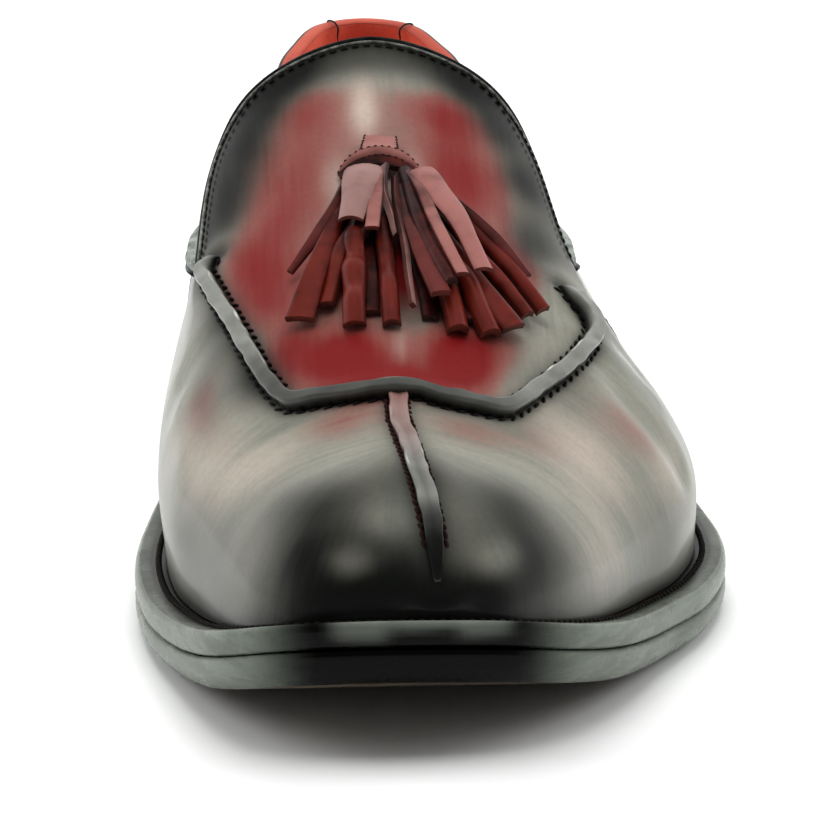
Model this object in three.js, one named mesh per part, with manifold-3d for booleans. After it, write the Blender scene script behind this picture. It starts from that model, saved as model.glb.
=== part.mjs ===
// Left tassel loafer: a leather dress shoe with a raised apron seam, a centre toe seam and two tassels.
// Millimetres, +Z up, toe towards -Y, heel towards +Y, inner (medial) side towards -X.
// The origin is on the floor under the middle of the shoe.

import * as THREE from 'three';
import { mergeVertices } from 'three/addons/utils/BufferGeometryUtils.js';
import Module from 'manifold-3d';

const wasm = await Module();
wasm.setup();

// Sole sizes
const length = 302;
const ballWidth = 113;
const toeSpring = 14.2;
const heelHeight = 22;
const seatPitch = 2.5;
const outsoleThickness = 5.6;
const weltThickness = 4.4;
const weltReach = 6;
const topPieceThickness = 6;
const heelTaper = 2.4;
const soleEdgeRound = 1;
const soleBevel = 2.4;

// Upper sizes
const instepHeight = 83;
const backHeight = 59.2;
const wall = 2.2;
const insoleThickness = 3;
const quarterThickness = 1.2;
const goreThickness = 1.2;
const ridgeWidth = 3.2;
const ridgeHeight = 2.4;
const ridgeLift = 0.5;

// Tassel sizes
const tasselLength = 50;
const stripThickness = 1.5;
const tieThickness = 1.6;
const tieBandWidth = 2.6;
const tieTabWidth = 6.6;

// Fits
const clearance = 0.3;

// Mesh steps
const stepsPerStation = 3;
const wallSteps = 10;
const ridgeStepsPerRow = 3;
const stripSteps = 5;

// Places along the sole, as shares of its length from the toe
const springShare = 0.299;
const springCurve = 2.7;
const slopeReachShare = 0.013;
const shankShare = 0.378;
const breastShare = 0.752;

const rows = (columns, lines) => lines.map((line) => (
  Object.fromEntries(columns.map((column, i) => [column, line[i]]))
));

// Outline and wall of the last. at is a share of the length from the toe, medial and lateral are shares
// of the ball width from the centre line. Low, Mid and High give how far out the wall stands at 30, 60
// and 85 percent of its height, as shares of the distance from crest to foot. reach is a share of the
// welt's reach.
const stations = rows(
  ['at', 'medial', 'lateral', 'medialLow', 'medialMid', 'medialHigh',
    'lateralLow', 'lateralMid', 'lateralHigh', 'reach'],
  [
    [0, -0.109, -0.109, 0.94, 0.77, 0.47, 0.94, 0.77, 0.47, 1],
    [0.01, -0.259, 0.059, 0.94, 0.77, 0.47, 0.94, 0.77, 0.47, 1],
    [0.037, -0.339, 0.161, 0.95, 0.78, 0.48, 0.95, 0.77, 0.47, 1],
    [0.084, -0.392, 0.25, 0.97, 0.82, 0.52, 0.96, 0.79, 0.49, 1],
    [0.163, -0.448, 0.35, 0.99, 0.86, 0.56, 0.98, 0.82, 0.52, 1],
    [0.229, -0.483, 0.435, 1.015, 0.91, 0.63, 1, 0.855, 0.57, 1],
    [0.312, -0.5, 0.493, 1.03, 0.935, 0.685, 0.985, 0.81, 0.56, 1],
    [0.411, -0.485, 0.493, 1.035, 0.94, 0.77, 0.92, 0.66, 0.545, 1],
    [0.52, -0.432, 0.431, 1.03, 0.92, 0.84, 0.91, 0.63, 0.57, 0.92],
    [0.636, -0.366, 0.345, 1.08, 1, 0.8, 0.98, 0.8, 0.6, 0.83],
    [0.752, -0.339, 0.297, 1.04, 0.95, 0.7, 1, 0.86, 0.62, 0.75],
    [0.851, -0.339, 0.272, 1.02, 0.85, 0.62, 1.02, 0.84, 0.62, 0.72],
    [0.931, -0.304, 0.236, 1.02, 0.87, 0.62, 1.02, 0.87, 0.62, 0.72],
    [0.982, -0.211, 0.143, 1.03, 0.93, 0.65, 1.03, 0.93, 0.65, 0.72],
    [1, -0.035, -0.035, 1.03, 0.95, 0.66, 1.03, 0.95, 0.66, 0.72],
  ],
);

// Crest of the last. rise is a share of the instep height above the welt, shift a share of the ball width.
const crest = rows(
  ['at', 'rise', 'shift'],
  [
    [0.114, 0.367, -0.078],
    [0.18, 0.475, -0.078],
    [0.239, 0.576, -0.078],
    [0.305, 0.68, -0.078],
    [0.372, 0.784, -0.078],
    [0.438, 0.881, -0.078],
    [0.504, 0.961, -0.078],
    [0.532, 1, -0.078],
    [0.603, 1.057, -0.069],
    [0.702, 1.082, -0.051],
    [0.874, 1.117, -0.035],
  ],
);

// Free edge of the tongue from the notch to its top, rise as a share of the instep height.
const tongueEdge = rows(
  ['at', 'rise'],
  [
    [0.379, 0.601],
    [0.447, 0.713],
    [0.493, 0.783],
    [0.517, 0.845],
    [0.529, 0.915],
    [0.532, 1.01],
  ],
);

// Topline from the quarter's front corner to the back, rise as a share of the back height.
const topline = rows(
  ['at', 'rise'],
  [
    [0.46, 0.811],
    [0.533, 0.77],
    [0.632, 0.703],
    [0.732, 0.703],
    [0.831, 0.796],
    [0.914, 0.9],
    [0.954, 0.966],
    [1, 1.015],
  ],
);

// Front edge of the quarters from the topline down to the welt, rise as a share of the back height.
const quarterEdge = rows(
  ['at', 'rise'],
  [
    [0.46, 0.811],
    [0.474, 0.6],
    [0.495, 0.36],
    [0.525, 0],
  ],
);

// Raised seams. station counts rows of the last's table, across runs from -1 at the medial foot
// through 0 on the crest to 1 at the lateral foot.
const apronSeam = rows(
  ['station', 'across'],
  [
    [6.55, -0.32],
    [6.1, -0.275],
    [5.45, -0.24],
    [4.8, -0.22],
    [4.47, -0.213],
    [4.3, -0.198],
    [4.22, -0.15],
    [4.15, -0.09],
    [4.12, -0.035],
    [4.12, 0],
    [4.12, 0.035],
    [4.05, 0.08],
    [4.05, 0.135],
    [4.1, 0.187],
    [4.27, 0.21],
    [4.55, 0.23],
    [5, 0.26],
    [5.3, 0.288],
    [5.52, 0.3],
    [5.8, 0.29],
    [6, 0.275],
    [6.25, 0.272],
    [6.55, 0.32],
  ],
);
const toeSeam = rows(
  ['station', 'across'],
  [
    [3.98, 0],
    [3.7, 0.008],
    [3.4, 0.016],
    [1.2, 0.085],
    [0.7, 0.16],
    [0.55, 0.3],
    [0.48, 0.5],
    [0.46, 0.65],
    [0.45, 0.8],
  ],
);

// Tassels. Lengths are shares of the tassel length: across from the tie's middle, down the vamp from
// the tie, lift off the vamp.
const tieShare = 0.401;
const tieBand = rows(
  ['across', 'lift'],
  [
    [-0.15, 0.022],
    [-0.13, 0.05],
    [-0.07, 0.095],
    [0, 0.112],
    [0.07, 0.1],
    [0.125, 0.06],
    [0.148, 0.022],
  ],
);
const tieTab = rows(
  ['down', 'lift'],
  [
    [-0.17, 0.024],
    [-0.1, 0.055],
    [0.01, 0.108],
  ],
);
const stripColumns = ['root', 'across', 'down', 'lift', 'arch', 'rootWidth', 'tipWidth'];
const tassels = {
  tassel_left: {
    head: { across: -0.045, down: 0.094, lift: 0.074 },
    strips: rows(stripColumns, [
      [-0.04, -0.11, 0.49, 0.14, 0.03, 0.13, 0.08],
      [0.005, -0.045, 0.53, 0.12, 0.02, 0.06, 0.048],
      [-0.01, 0.005, 0.52, 0.08, 0.02, 0.04, 0.036],
      [-0.08, -0.34, 0.58, 0.06, 0.04, 0.06, 0.03],
      [-0.07, -0.31, 0.87, 0.052, 0.05, 0.07, 0.12],
      [-0.05, -0.225, 0.83, 0.048, 0.06, 0.07, 0.08],
      [-0.03, -0.125, 0.96, 0.048, 0.07, 0.065, 0.08],
      [0, -0.01, 0.97, 0.04, 0.05, 0.06, 0.066],
    ]),
  },
  tassel_right: {
    head: { across: 0.1, down: 0.094, lift: 0.074 },
    strips: rows(stripColumns, [
      [0.15, 0.31, 0.78, 0.16, 0.05, 0.11, 0.075],
      [0.12, 0.25, 0.82, 0.15, 0.04, 0.05, 0.05],
      [0.1, 0.19, 0.92, 0.13, 0.03, 0.05, 0.07],
      [0.09, 0.085, 0.96, 0.08, 0.03, 0.04, 0.045],
      [0.19, 0.5, 0.68, 0.1, 0.04, 0.05, 0.04],
      [0.17, 0.54, 0.78, 0.09, 0.05, 0.06, 0.07],
      [0.15, 0.42, 0.94, 0.06, 0.05, 0.08, 0.12],
      [0.12, 0.235, 0.98, 0.05, 0.05, 0.06, 0.07],
      [0.14, 0.34, 0.96, 0.05, 0.05, 0.06, 0.07],
    ]),
  },
};
const headShares = { across: 0.065, down: 0.065, lift: 0.062 };
const tieMiddleShare = -0.083;

const yAt = (share) => (share - 0.5) * length;
const lerp = THREE.MathUtils.lerp;

// Height of the outsole's lower face over the floor
function soleRise(y) {
  if (y < yAt(springShare)) {
    return toeSpring * ((yAt(springShare) - y) / (springShare * length)) ** springCurve;
  }
  const breastHeight = heelHeight - seatPitch;
  if (y < yAt(breastShare)) {
    return breastHeight * THREE.MathUtils.smoothstep(y, yAt(shankShare), yAt(breastShare));
  }
  return breastHeight + seatPitch * (y - yAt(breastShare)) / (yAt(1) - yAt(breastShare));
}

const weltBase = outsoleThickness + clearance;
const weltTop = weltBase + weltThickness;
const footBase = weltTop + clearance;
const footHeight = (y) => soleRise(y) + footBase;

function spline(before, from, to, after, share) {
  const square = share * share;
  const cube = square * share;
  return 0.5 * (2 * from + (to - before) * share
    + (2 * before - 5 * from + 4 * to - after) * square
    + (3 * from - 3 * to + after - before) * cube);
}

const lastStation = stations.length - 1;
const stationsRound = 2 * lastStation;

// One row of the table for each place round the shoe: toe, medial side, back, lateral side
function stationRow(index) {
  const place = (index + stationsRound) % stationsRound;
  const side = place <= lastStation ? 'medial' : 'lateral';
  const row = stations[place <= lastStation ? place : stationsRound - place];
  return {
    x: row[side] * ballWidth,
    y: yAt(row.at),
    low: row[`${side}Low`],
    mid: row[`${side}Mid`],
    high: row[`${side}High`],
    reach: row.reach * weltReach,
  };
}

function outlineAt(place) {
  const start = Math.floor(place);
  const four = [-1, 0, 1, 2].map((step) => stationRow(start + step));
  return Object.fromEntries(Object.keys(four[0]).map((key) => (
    [key, spline(...four.map((row) => row[key]), place - start)]
  )));
}

// Outline point moved inwards, square to the outline
function insetAt(place, inset) {
  const step = 0.02;
  const here = outlineAt(place);
  const before = outlineAt(place - step);
  const after = outlineAt(place + step);
  const along = new THREE.Vector2(after.x - before.x, after.y - before.y).normalize();
  return new THREE.Vector2(here.x + along.y * inset, here.y - along.x * inset);
}

// Crest of the last at a place along it, held at the two ends of its table
function crestAt(y) {
  const lastRow = crest.length - 1;
  const held = THREE.MathUtils.clamp(y, yAt(crest[0].at), yAt(crest[lastRow].at));
  const next = Math.max(1, crest.findIndex((row) => yAt(row.at) >= held));
  const slopeOf = (index, key) => {
    const before = crest[Math.max(0, index - 1)];
    const after = crest[Math.min(lastRow, index + 1)];
    return (after[key] - before[key]) / (after.at - before.at);
  };
  const from = crest[next - 1];
  const to = crest[next];
  const span = to.at - from.at;
  const share = (held / length + 0.5 - from.at) / span;
  const blend = (key) => {
    const rest = 1 - share;
    return from[key] * (1 + 2 * share) * rest * rest
      + to[key] * share * share * (3 - 2 * share)
      + slopeOf(next - 1, key) * span * share * rest * rest
      - slopeOf(next, key) * span * share * share * rest;
  };
  return new THREE.Vector3(blend('shift') * ballWidth, held, footHeight(held) + blend('rise') * instepHeight);
}

function crestSlope(y) {
  const reach = slopeReachShare * length;
  const from = crestAt(y - reach);
  const to = crestAt(y + reach);
  return (to.z - from.z) / Math.max(to.y - from.y, reach);
}

// Heights at which the wall's table gives its width
const lowShare = 0.3;
const midShare = 0.6;
const highShare = 0.85;

// Point on the last: place runs round the outline, up runs from 0 at the foot to 1 on the crest
function lastPoint(place, up) {
  const row = outlineAt(place);
  const foot = insetAt(place, row.reach);
  const top = crestAt(row.y);
  const base = footHeight(foot.y);
  const height = top.z - base;
  const out = new THREE.Vector2(foot.x - top.x, foot.y - top.y);
  const acrossShare = (out.x / out.length()) ** 2;
  const toToe = Math.max(0, -out.y / out.length());
  const overRise = toToe * crestSlope(top.y) * row.high * out.length() / height;
  const widths = [1, 1, row.low, row.mid, row.high, 0, -row.high];
  const heights = [-lowShare, 0, lowShare, midShare, highShare, 1,
    1 - (1 - highShare) * acrossShare + overRise];
  const spans = widths.length - 3;
  const start = Math.min(spans - 1, Math.floor(up * spans));
  const share = up * spans - start;
  const width = spline(...widths.slice(start, start + 4), share);
  const rise = spline(...heights.slice(start, start + 4), share);
  return new THREE.Vector3(top.x + out.x * width, top.y + out.y * width, base + height * rise);
}

function lastNormal(place, up) {
  const step = 0.01;
  if (up > 1 - step) {
    return new THREE.Vector3(0, -crestSlope(crestAt(outlineAt(place).y).y), 1).normalize();
  }
  const round = lastPoint(place + step, up).sub(lastPoint(place - step, up));
  const rise = lastPoint(place, up + step).sub(lastPoint(place, Math.max(0, up - step)));
  return rise.cross(round).normalize();
}

const offsetPoint = (place, up, offset) => (
  lastPoint(place, up).addScaledVector(lastNormal(place, up), offset)
);

const sum = (count, make) => Array.from({ length: count }, (_, i) => make(i));
const roundSteps = stationsRound * stepsPerStation;
const ring = (point) => sum(roundSteps, (i) => point(i / stepsPerStation));

// Closed mesh over a pile of rings. Each ring's points pair up across it for the end faces.
function loft(rings) {
  const count = rings[0].length;
  const corners = rings.flat();
  const faces = [];
  for (let level = 0; level < rings.length - 1; level += 1) {
    for (let i = 0; i < count; i += 1) {
      const a = level * count + i;
      const b = level * count + (i + 1) % count;
      faces.push([a, a + count, b + count], [a, b + count, b]);
    }
  }
  const topLevel = (rings.length - 1) * count;
  for (let i = 0; i < count / 2; i += 1) {
    const near = [i, i + 1, (count - i - 1) % count, (count - i) % count];
    const far = near.map((index) => index + topLevel);
    faces.push([near[0], near[1], near[2]], [near[0], near[2], near[3]]);
    faces.push([far[0], far[2], far[1]], [far[0], far[3], far[2]]);
  }
  const geometry = new THREE.BufferGeometry().setFromPoints(corners);
  geometry.setIndex(faces.flat());
  return solid(geometry);
}

function solid(geometry) {
  const bare = new THREE.BufferGeometry();
  bare.setAttribute('position', geometry.getAttribute('position'));
  bare.setIndex(geometry.getIndex());
  const merged = mergeVertices(bare, 1e-4);
  const index = merged.getIndex().array;
  const kept = [];
  for (let i = 0; i < index.length; i += 3) {
    const [a, b, c] = index.slice(i, i + 3);
    if (a !== b && b !== c && c !== a) kept.push(a, b, c);
  }
  return new wasm.Manifold(new wasm.Mesh({
    numProp: 3,
    vertProperties: new Float32Array(merged.getAttribute('position').array),
    triVerts: new Uint32Array(kept),
  }));
}

function geometryOf(body) {
  const mesh = body.getMesh();
  const geometry = new THREE.BufferGeometry();
  geometry.setAttribute('position', new THREE.BufferAttribute(new Float32Array(mesh.vertProperties), 3));
  geometry.setIndex(new THREE.BufferAttribute(new Uint32Array(mesh.triVerts), 1));
  geometry.computeVertexNormals();
  return geometry;
}

// Solid between two planes across the shoe, from an outline in its side view
function sidePrism(outline, fromX, toX) {
  const shape = new THREE.Shape(outline);
  const geometry = new THREE.ExtrudeGeometry(shape, { depth: toX - fromX, bevelEnabled: false });
  geometry.applyMatrix4(new THREE.Matrix4().makeBasis(
    new THREE.Vector3(0, 1, 0),
    new THREE.Vector3(0, 0, 1),
    new THREE.Vector3(1, 0, 0),
  ));
  geometry.translate(fromX, 0, 0);
  return solid(geometry);
}

function block(low, high) {
  const size = high.clone().sub(low);
  const geometry = new THREE.BoxGeometry(size.x, size.y, size.z);
  geometry.translate(...low.clone().add(high).multiplyScalar(0.5).toArray());
  return solid(geometry);
}

// Full form of the upper at a distance from the last, carried down below its foot by drop
function lastForm(offset, drop) {
  const foot = ring((place) => {
    const point = offsetPoint(place, 0, offset);
    return new THREE.Vector3(point.x, point.y, footHeight(point.y));
  });
  const skirt = foot.map((point) => new THREE.Vector3(point.x, point.y, point.z - drop));
  const walls = sum(wallSteps, (i) => ring((place) => offsetPoint(place, (i + 1) / wallSteps, offset)));
  return loft(drop > 0 ? [skirt, foot, ...walls] : [foot, ...walls]);
}

const skirtDrop = 2 * wall;
const layer = (inner, outer) => lastForm(outer, 0).subtract(lastForm(inner, skirtDrop));

// Side view lines of the upper
const beyond = 0.1 * length;
const sideLine = (table, size, steps) => new THREE.SplineCurve(table.map((row) => (
  new THREE.Vector2(yAt(row.at), footHeight(yAt(row.at)) + row.rise * size)
))).getPoints(steps);
const tongueLine = sideLine(tongueEdge, instepHeight, 15);
const toplineCurve = sideLine(topline, backHeight, 21);
const highLimit = footBase + heelHeight + instepHeight + beyond;
const sideLimit = 0.75 * ballWidth;

// What is cut away over the collar: behind the tongue's edge and above the topline
const collarOutline = [
  ...tongueLine,
  new THREE.Vector2(tongueLine.at(-1).x, highLimit),
  new THREE.Vector2(yAt(1) + beyond, highLimit),
  new THREE.Vector2(yAt(1) + beyond, toplineCurve.at(-1).y),
  ...toplineCurve.toReversed(),
];
const collarCut = sidePrism(collarOutline, -sideLimit, sideLimit);

function makeUpper() {
  return layer(-wall, 0).subtract(collarCut);
}

function makeQuarters() {
  const edge = sideLine(quarterEdge, backHeight, 9);
  const window = sidePrism([
    ...edge,
    new THREE.Vector2(edge.at(-1).x, 0),
    new THREE.Vector2(yAt(1) + beyond, 0),
    new THREE.Vector2(yAt(1) + beyond, toplineCurve.at(-1).y),
    ...toplineCurve.slice(1).toReversed(),
  ], -sideLimit, sideLimit);
  return layer(clearance, clearance + quarterThickness).intersect(window);
}

// Elastic sliver in the V between the tongue's edge and the quarter's corner
function makeGore(fromX, toX) {
  const notch = tongueLine[0];
  const corner = toplineCurve[0];
  const upperCorner = tongueLine[3];
  const base = Math.min(notch.y, corner.y) - wall;
  const window = sidePrism([
    new THREE.Vector2(notch.x, base),
    new THREE.Vector2(corner.x, base),
    corner,
    upperCorner,
    new THREE.Vector2(notch.x, upperCorner.y),
  ], fromX, toX);
  const edgeShift = 4 * clearance;
  const opening = collarCut.translate([0, edgeShift, clearance]);
  const depth = (wall - goreThickness) / 2;
  return layer(-depth - goreThickness, -depth).intersect(opening).intersect(window);
}

const soleRing = (inset, lift) => ring((place) => {
  const point = insetAt(place, inset);
  return new THREE.Vector3(point.x, point.y, soleRise(point.y) + lift);
});
const footRing = (inset, lift) => ring((place) => {
  const point = insetAt(place, outlineAt(place).reach + inset);
  return new THREE.Vector3(point.x, point.y, soleRise(point.y) + lift);
});

function makeOutsole() {
  return loft([
    soleRing(soleBevel, 0),
    soleRing(soleEdgeRound * 0.4, soleBevel * 0.7),
    soleRing(0, soleBevel * 1.2),
    soleRing(0, outsoleThickness - soleEdgeRound * 0.7),
    soleRing(soleEdgeRound * 0.7, outsoleThickness),
  ]);
}

const weltInside = wall + clearance;

function makeWelt() {
  const band = loft([
    soleRing(soleEdgeRound * 0.7, weltBase),
    soleRing(0, weltBase + soleEdgeRound * 0.7),
    soleRing(0, weltTop - soleEdgeRound * 1.2),
    soleRing(soleEdgeRound, weltTop),
  ]);
  const hole = loft([
    footRing(weltInside, weltBase - weltThickness),
    footRing(weltInside, weltTop + weltThickness),
  ]);
  return band.subtract(hole);
}

function makeInsole() {
  const edge = weltInside + 3 * clearance;
  return loft([
    footRing(edge, weltBase),
    footRing(edge, footBase + insoleThickness - clearance),
    footRing(edge + clearance * 2, footBase + insoleThickness),
  ]);
}

// Tapering heel from below the floor to the outsole, cut to height and to its breast
function heelSlice(fromZ, toZ) {
  const below = -topPieceThickness;
  const heelTop = -clearance;
  const body = loft([
    ring((place) => {
      const point = insetAt(place, heelTaper);
      return new THREE.Vector3(point.x, point.y, below);
    }),
    soleRing(soleEdgeRound * 0.5, heelTop),
  ]);
  return body.intersect(block(
    new THREE.Vector3(-sideLimit, yAt(breastShare), fromZ),
    new THREE.Vector3(sideLimit, yAt(1) + beyond, toZ),
  ));
}

// Frames along a path given by rows of stations and shares across
const across = (row) => (row.across < 0 ? row.station : stationsRound - row.station);

function framesAlong(points, normals, steps) {
  const path = new THREE.CatmullRomCurve3(points);
  const lean = new THREE.CatmullRomCurve3(normals);
  return sum(steps + 1, (i) => {
    const share = i / steps;
    const tangent = path.getTangent(share);
    const side = lean.getPoint(share).cross(tangent).normalize();
    return { point: path.getPoint(share), side, up: tangent.clone().cross(side) };
  });
}

function sweep(frames, sectionOf) {
  return loft(frames.map((frame, i) => sectionOf(i / (frames.length - 1)).map(([sideways, up]) => (
    frame.point.clone().addScaledVector(frame.side, sideways).addScaledVector(frame.up, up)
  ))));
}

function makeRidge(table) {
  const points = table.map((row) => lastPoint(across(row), 1 - Math.abs(row.across)));
  const normals = table.map((row) => lastNormal(across(row), 1 - Math.abs(row.across)));
  const half = ridgeWidth / 2;
  const top = ridgeLift + ridgeHeight;
  const shoulder = lerp(ridgeLift, top, 0.7);
  return sweep(framesAlong(points, normals, (table.length - 1) * ridgeStepsPerRow), () => [
    [0, ridgeLift],
    [-half, ridgeLift],
    [-half * 0.8, shoulder],
    [0, top],
    [half * 0.8, shoulder],
    [half, ridgeLift],
  ]);
}

// Point over the vamp, from lengths across from the tie's middle and down from the tie
function vampSpot(acrossLength, downLength) {
  const y = yAt(tieShare) - downLength;
  const x = tieMiddleShare * ballWidth + acrossLength;
  const medial = x < crestAt(y).x;
  const placeOf = (station) => (medial ? station : stationsRound - station);
  const bisect = (low, high, isPast) => {
    let [from, to] = [low, high];
    for (let i = 0; i < 30; i += 1) {
      const middle = (from + to) / 2;
      if (isPast(middle)) to = middle;
      else from = middle;
    }
    return from;
  };
  let place = placeOf(6);
  let up = 1;
  for (let round = 0; round < 4; round += 1) {
    const held = up;
    place = placeOf(bisect(2, lastStation - 2, (station) => lastPoint(placeOf(station), held).y > y));
    up = bisect(0.5, 1, (share) => (
      medial ? lastPoint(place, share).x > x : lastPoint(place, share).x < x
    ));
  }
  return { point: lastPoint(place, up), normal: lastNormal(place, up) };
}

const overVamp = (acrossShare, downShare, liftShare) => {
  const spot = vampSpot(acrossShare * tasselLength, downShare * tasselLength);
  return { ...spot, point: spot.point.addScaledVector(spot.normal, liftShare * tasselLength) };
};

function flatBand(spots, steps, widthAt, thickness) {
  const frames = framesAlong(spots.map((spot) => spot.point), spots.map((spot) => spot.normal), steps);
  return sweep(frames, (share) => {
    const half = widthAt(share) / 2;
    const deep = thickness / 2;
    return [[-half, -deep], [-half, deep], [half, deep], [half, -deep]];
  });
}

function makeTie() {
  const band = flatBand(
    tieBand.map((row) => overVamp(row.across, 0, row.lift)),
    12,
    () => tieBandWidth,
    tieThickness,
  );
  const tab = flatBand(
    tieTab.map((row) => overVamp(0.01, row.down, row.lift)),
    4,
    () => tieTabWidth,
    tieThickness,
  );
  return band.add(tab);
}

function makeTassel({ head, strips }) {
  const spot = overVamp(head.across, head.down, head.lift);
  const ball = new THREE.SphereGeometry(1, 10, 6);
  ball.scale(...['across', 'down', 'lift'].map((key) => headShares[key] * tasselLength));
  ball.applyQuaternion(new THREE.Quaternion().setFromUnitVectors(new THREE.Vector3(0, 0, 1), spot.normal));
  ball.translate(...spot.point.toArray());
  return strips.reduce((body, strip) => {
    const spots = [0, 0.35, 0.7, 1].map((share) => overVamp(
      lerp(strip.root, strip.across, share),
      lerp(head.down, strip.down, share),
      lerp(head.lift, strip.lift, share) + strip.arch * Math.sin(Math.PI * share),
    ));
    const widthAt = (share) => lerp(strip.rootWidth, strip.tipWidth, share) * tasselLength;
    return body.add(flatBand(spots, stripSteps, widthAt, stripThickness));
  }, solid(ball));
}

const colours = {
  sole: { color: 0x8f918b, roughness: 0.4, metalness: 0 },
  heel: { color: 0x2b2826, roughness: 0.5, metalness: 0 },
  rubber: { color: 0x1d1c1b, roughness: 0.8, metalness: 0 },
  lining: { color: 0xb4503c, roughness: 0.6, metalness: 0 },
  leather: { color: 0x8a5a58, roughness: 0.25, metalness: 0 },
  quarter: { color: 0x5b4547, roughness: 0.25, metalness: 0 },
  seam: { color: 0x6f6f6c, roughness: 0.35, metalness: 0 },
  elastic: { color: 0xb9bcb8, roughness: 0.9, metalness: 0 },
  tassel: { color: 0x9a3b33, roughness: 0.5, metalness: 0 },
};

const pieces = {
  outsole: [makeOutsole(), colours.sole],
  welt: [makeWelt(), colours.sole],
  heel_stack: [heelSlice(topPieceThickness + clearance, highLimit), colours.heel],
  heel_top_piece: [heelSlice(0, topPieceThickness), colours.rubber],
  insole: [makeInsole(), colours.lining],
  upper: [makeUpper(), colours.leather],
  quarters: [makeQuarters(), colours.quarter],
  gore_medial: [makeGore(-sideLimit, 0), colours.elastic],
  gore_lateral: [makeGore(0, sideLimit), colours.elastic],
  apron_seam: [makeRidge(apronSeam), colours.seam],
  toe_seam: [makeRidge(toeSeam), colours.seam],
  tassel_tie: [makeTie(), colours.tassel],
  tassel_left: [makeTassel(tassels.tassel_left), colours.tassel],
  tassel_right: [makeTassel(tassels.tassel_right), colours.tassel],
};

const loafer = new THREE.Group();
for (const [name, [body, look]] of Object.entries(pieces)) {
  const mesh = new THREE.Mesh(geometryOf(body), new THREE.MeshStandardMaterial(look));
  mesh.name = name;
  loafer.add(mesh);
}

export default loafer;
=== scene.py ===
import math
import random

import bpy
import numpy as np
from mathutils import Matrix, Vector
from mathutils.bvhtree import BVHTree


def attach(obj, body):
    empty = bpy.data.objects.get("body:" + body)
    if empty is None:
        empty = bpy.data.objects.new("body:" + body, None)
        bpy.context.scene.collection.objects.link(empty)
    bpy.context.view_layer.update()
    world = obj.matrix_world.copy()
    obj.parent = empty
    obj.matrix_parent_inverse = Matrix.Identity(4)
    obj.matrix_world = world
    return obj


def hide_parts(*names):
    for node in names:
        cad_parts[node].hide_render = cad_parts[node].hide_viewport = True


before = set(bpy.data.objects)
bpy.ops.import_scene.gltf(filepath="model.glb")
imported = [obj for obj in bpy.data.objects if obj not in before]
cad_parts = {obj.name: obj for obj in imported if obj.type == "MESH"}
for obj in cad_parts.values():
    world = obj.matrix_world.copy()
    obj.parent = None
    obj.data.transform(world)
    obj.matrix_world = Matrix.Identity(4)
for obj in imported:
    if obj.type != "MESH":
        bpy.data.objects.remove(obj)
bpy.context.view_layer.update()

mm = 0.001
print("frame loaded")

# ---- form of the last, in millimetres, as in the part's source

last = {
    "length": 302.0, "ballWidth": 113.0,
    "toeSpring": 14.2, "springShare": 0.299, "springCurve": 2.7,
    "shankShare": 0.378, "breastShare": 0.752, "heelHeight": 22.0, "seatPitch": 2.5,
    "footBase": 10.6, "weltReach": 6.0, "heelMiddle": -8.0, "instepHeight": 83.0, "backHeight": 59.2, "wall": 2.2,
    # at, medial, lateral, medial low mid high, lateral low mid high, reach
    "stations": [
        (0, -0.109, -0.109, 0.94, 0.77, 0.47, 0.94, 0.77, 0.47, 1),
        (0.01, -0.259, 0.059, 0.94, 0.77, 0.47, 0.94, 0.77, 0.47, 1),
        (0.037, -0.339, 0.161, 0.95, 0.78, 0.48, 0.95, 0.77, 0.47, 1),
        (0.084, -0.392, 0.25, 0.97, 0.82, 0.52, 0.96, 0.79, 0.49, 1),
        (0.163, -0.448, 0.35, 0.99, 0.86, 0.56, 0.98, 0.82, 0.52, 1),
        (0.229, -0.483, 0.435, 1.015, 0.91, 0.63, 1, 0.855, 0.57, 1),
        (0.312, -0.5, 0.493, 1.03, 0.935, 0.685, 0.985, 0.81, 0.56, 1),
        (0.411, -0.485, 0.493, 1.035, 0.94, 0.77, 0.92, 0.66, 0.545, 1),
        (0.52, -0.432, 0.431, 1.03, 0.92, 0.84, 0.91, 0.63, 0.57, 0.92),
        (0.636, -0.366, 0.345, 1.08, 1, 0.8, 0.98, 0.8, 0.6, 0.83),
        (0.752, -0.339, 0.297, 1.04, 0.95, 0.7, 1, 0.86, 0.62, 0.75),
        (0.851, -0.339, 0.272, 1.02, 0.85, 0.62, 1.02, 0.84, 0.62, 0.72),
        (0.931, -0.304, 0.236, 1.02, 0.87, 0.62, 1.02, 0.87, 0.62, 0.72),
        (0.982, -0.211, 0.143, 1.03, 0.93, 0.65, 1.03, 0.93, 0.65, 0.72),
        (1, -0.035, -0.035, 1.03, 0.95, 0.66, 1.03, 0.95, 0.66, 0.72),
    ],
    # at, rise, shift
    "crest": [
        (0.114, 0.367, -0.078), (0.18, 0.475, -0.078), (0.239, 0.576, -0.078),
        (0.305, 0.68, -0.078), (0.372, 0.784, -0.078), (0.438, 0.881, -0.078),
        (0.504, 0.961, -0.078), (0.532, 1, -0.078), (0.603, 1.057, -0.069),
        (0.702, 1.082, -0.051), (0.874, 1.117, -0.035),
    ],
    "tongueEdge": [(0.379, 0.601), (0.447, 0.713), (0.493, 0.783), (0.517, 0.845),
                   (0.529, 0.915), (0.532, 1.01)],
    "topline": [(0.46, 0.811), (0.533, 0.77), (0.632, 0.703), (0.732, 0.703), (0.831, 0.796),
                (0.914, 0.9), (0.954, 0.966), (1, 1.015)],
    "quarterEdge": [(0.46, 0.811), (0.474, 0.6), (0.495, 0.36), (0.525, 0)],
}
half = len(last["stations"]) - 1
around = 2 * half


def yAt(share):
    return (np.asarray(share, float) - 0.5) * last["length"]


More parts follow.
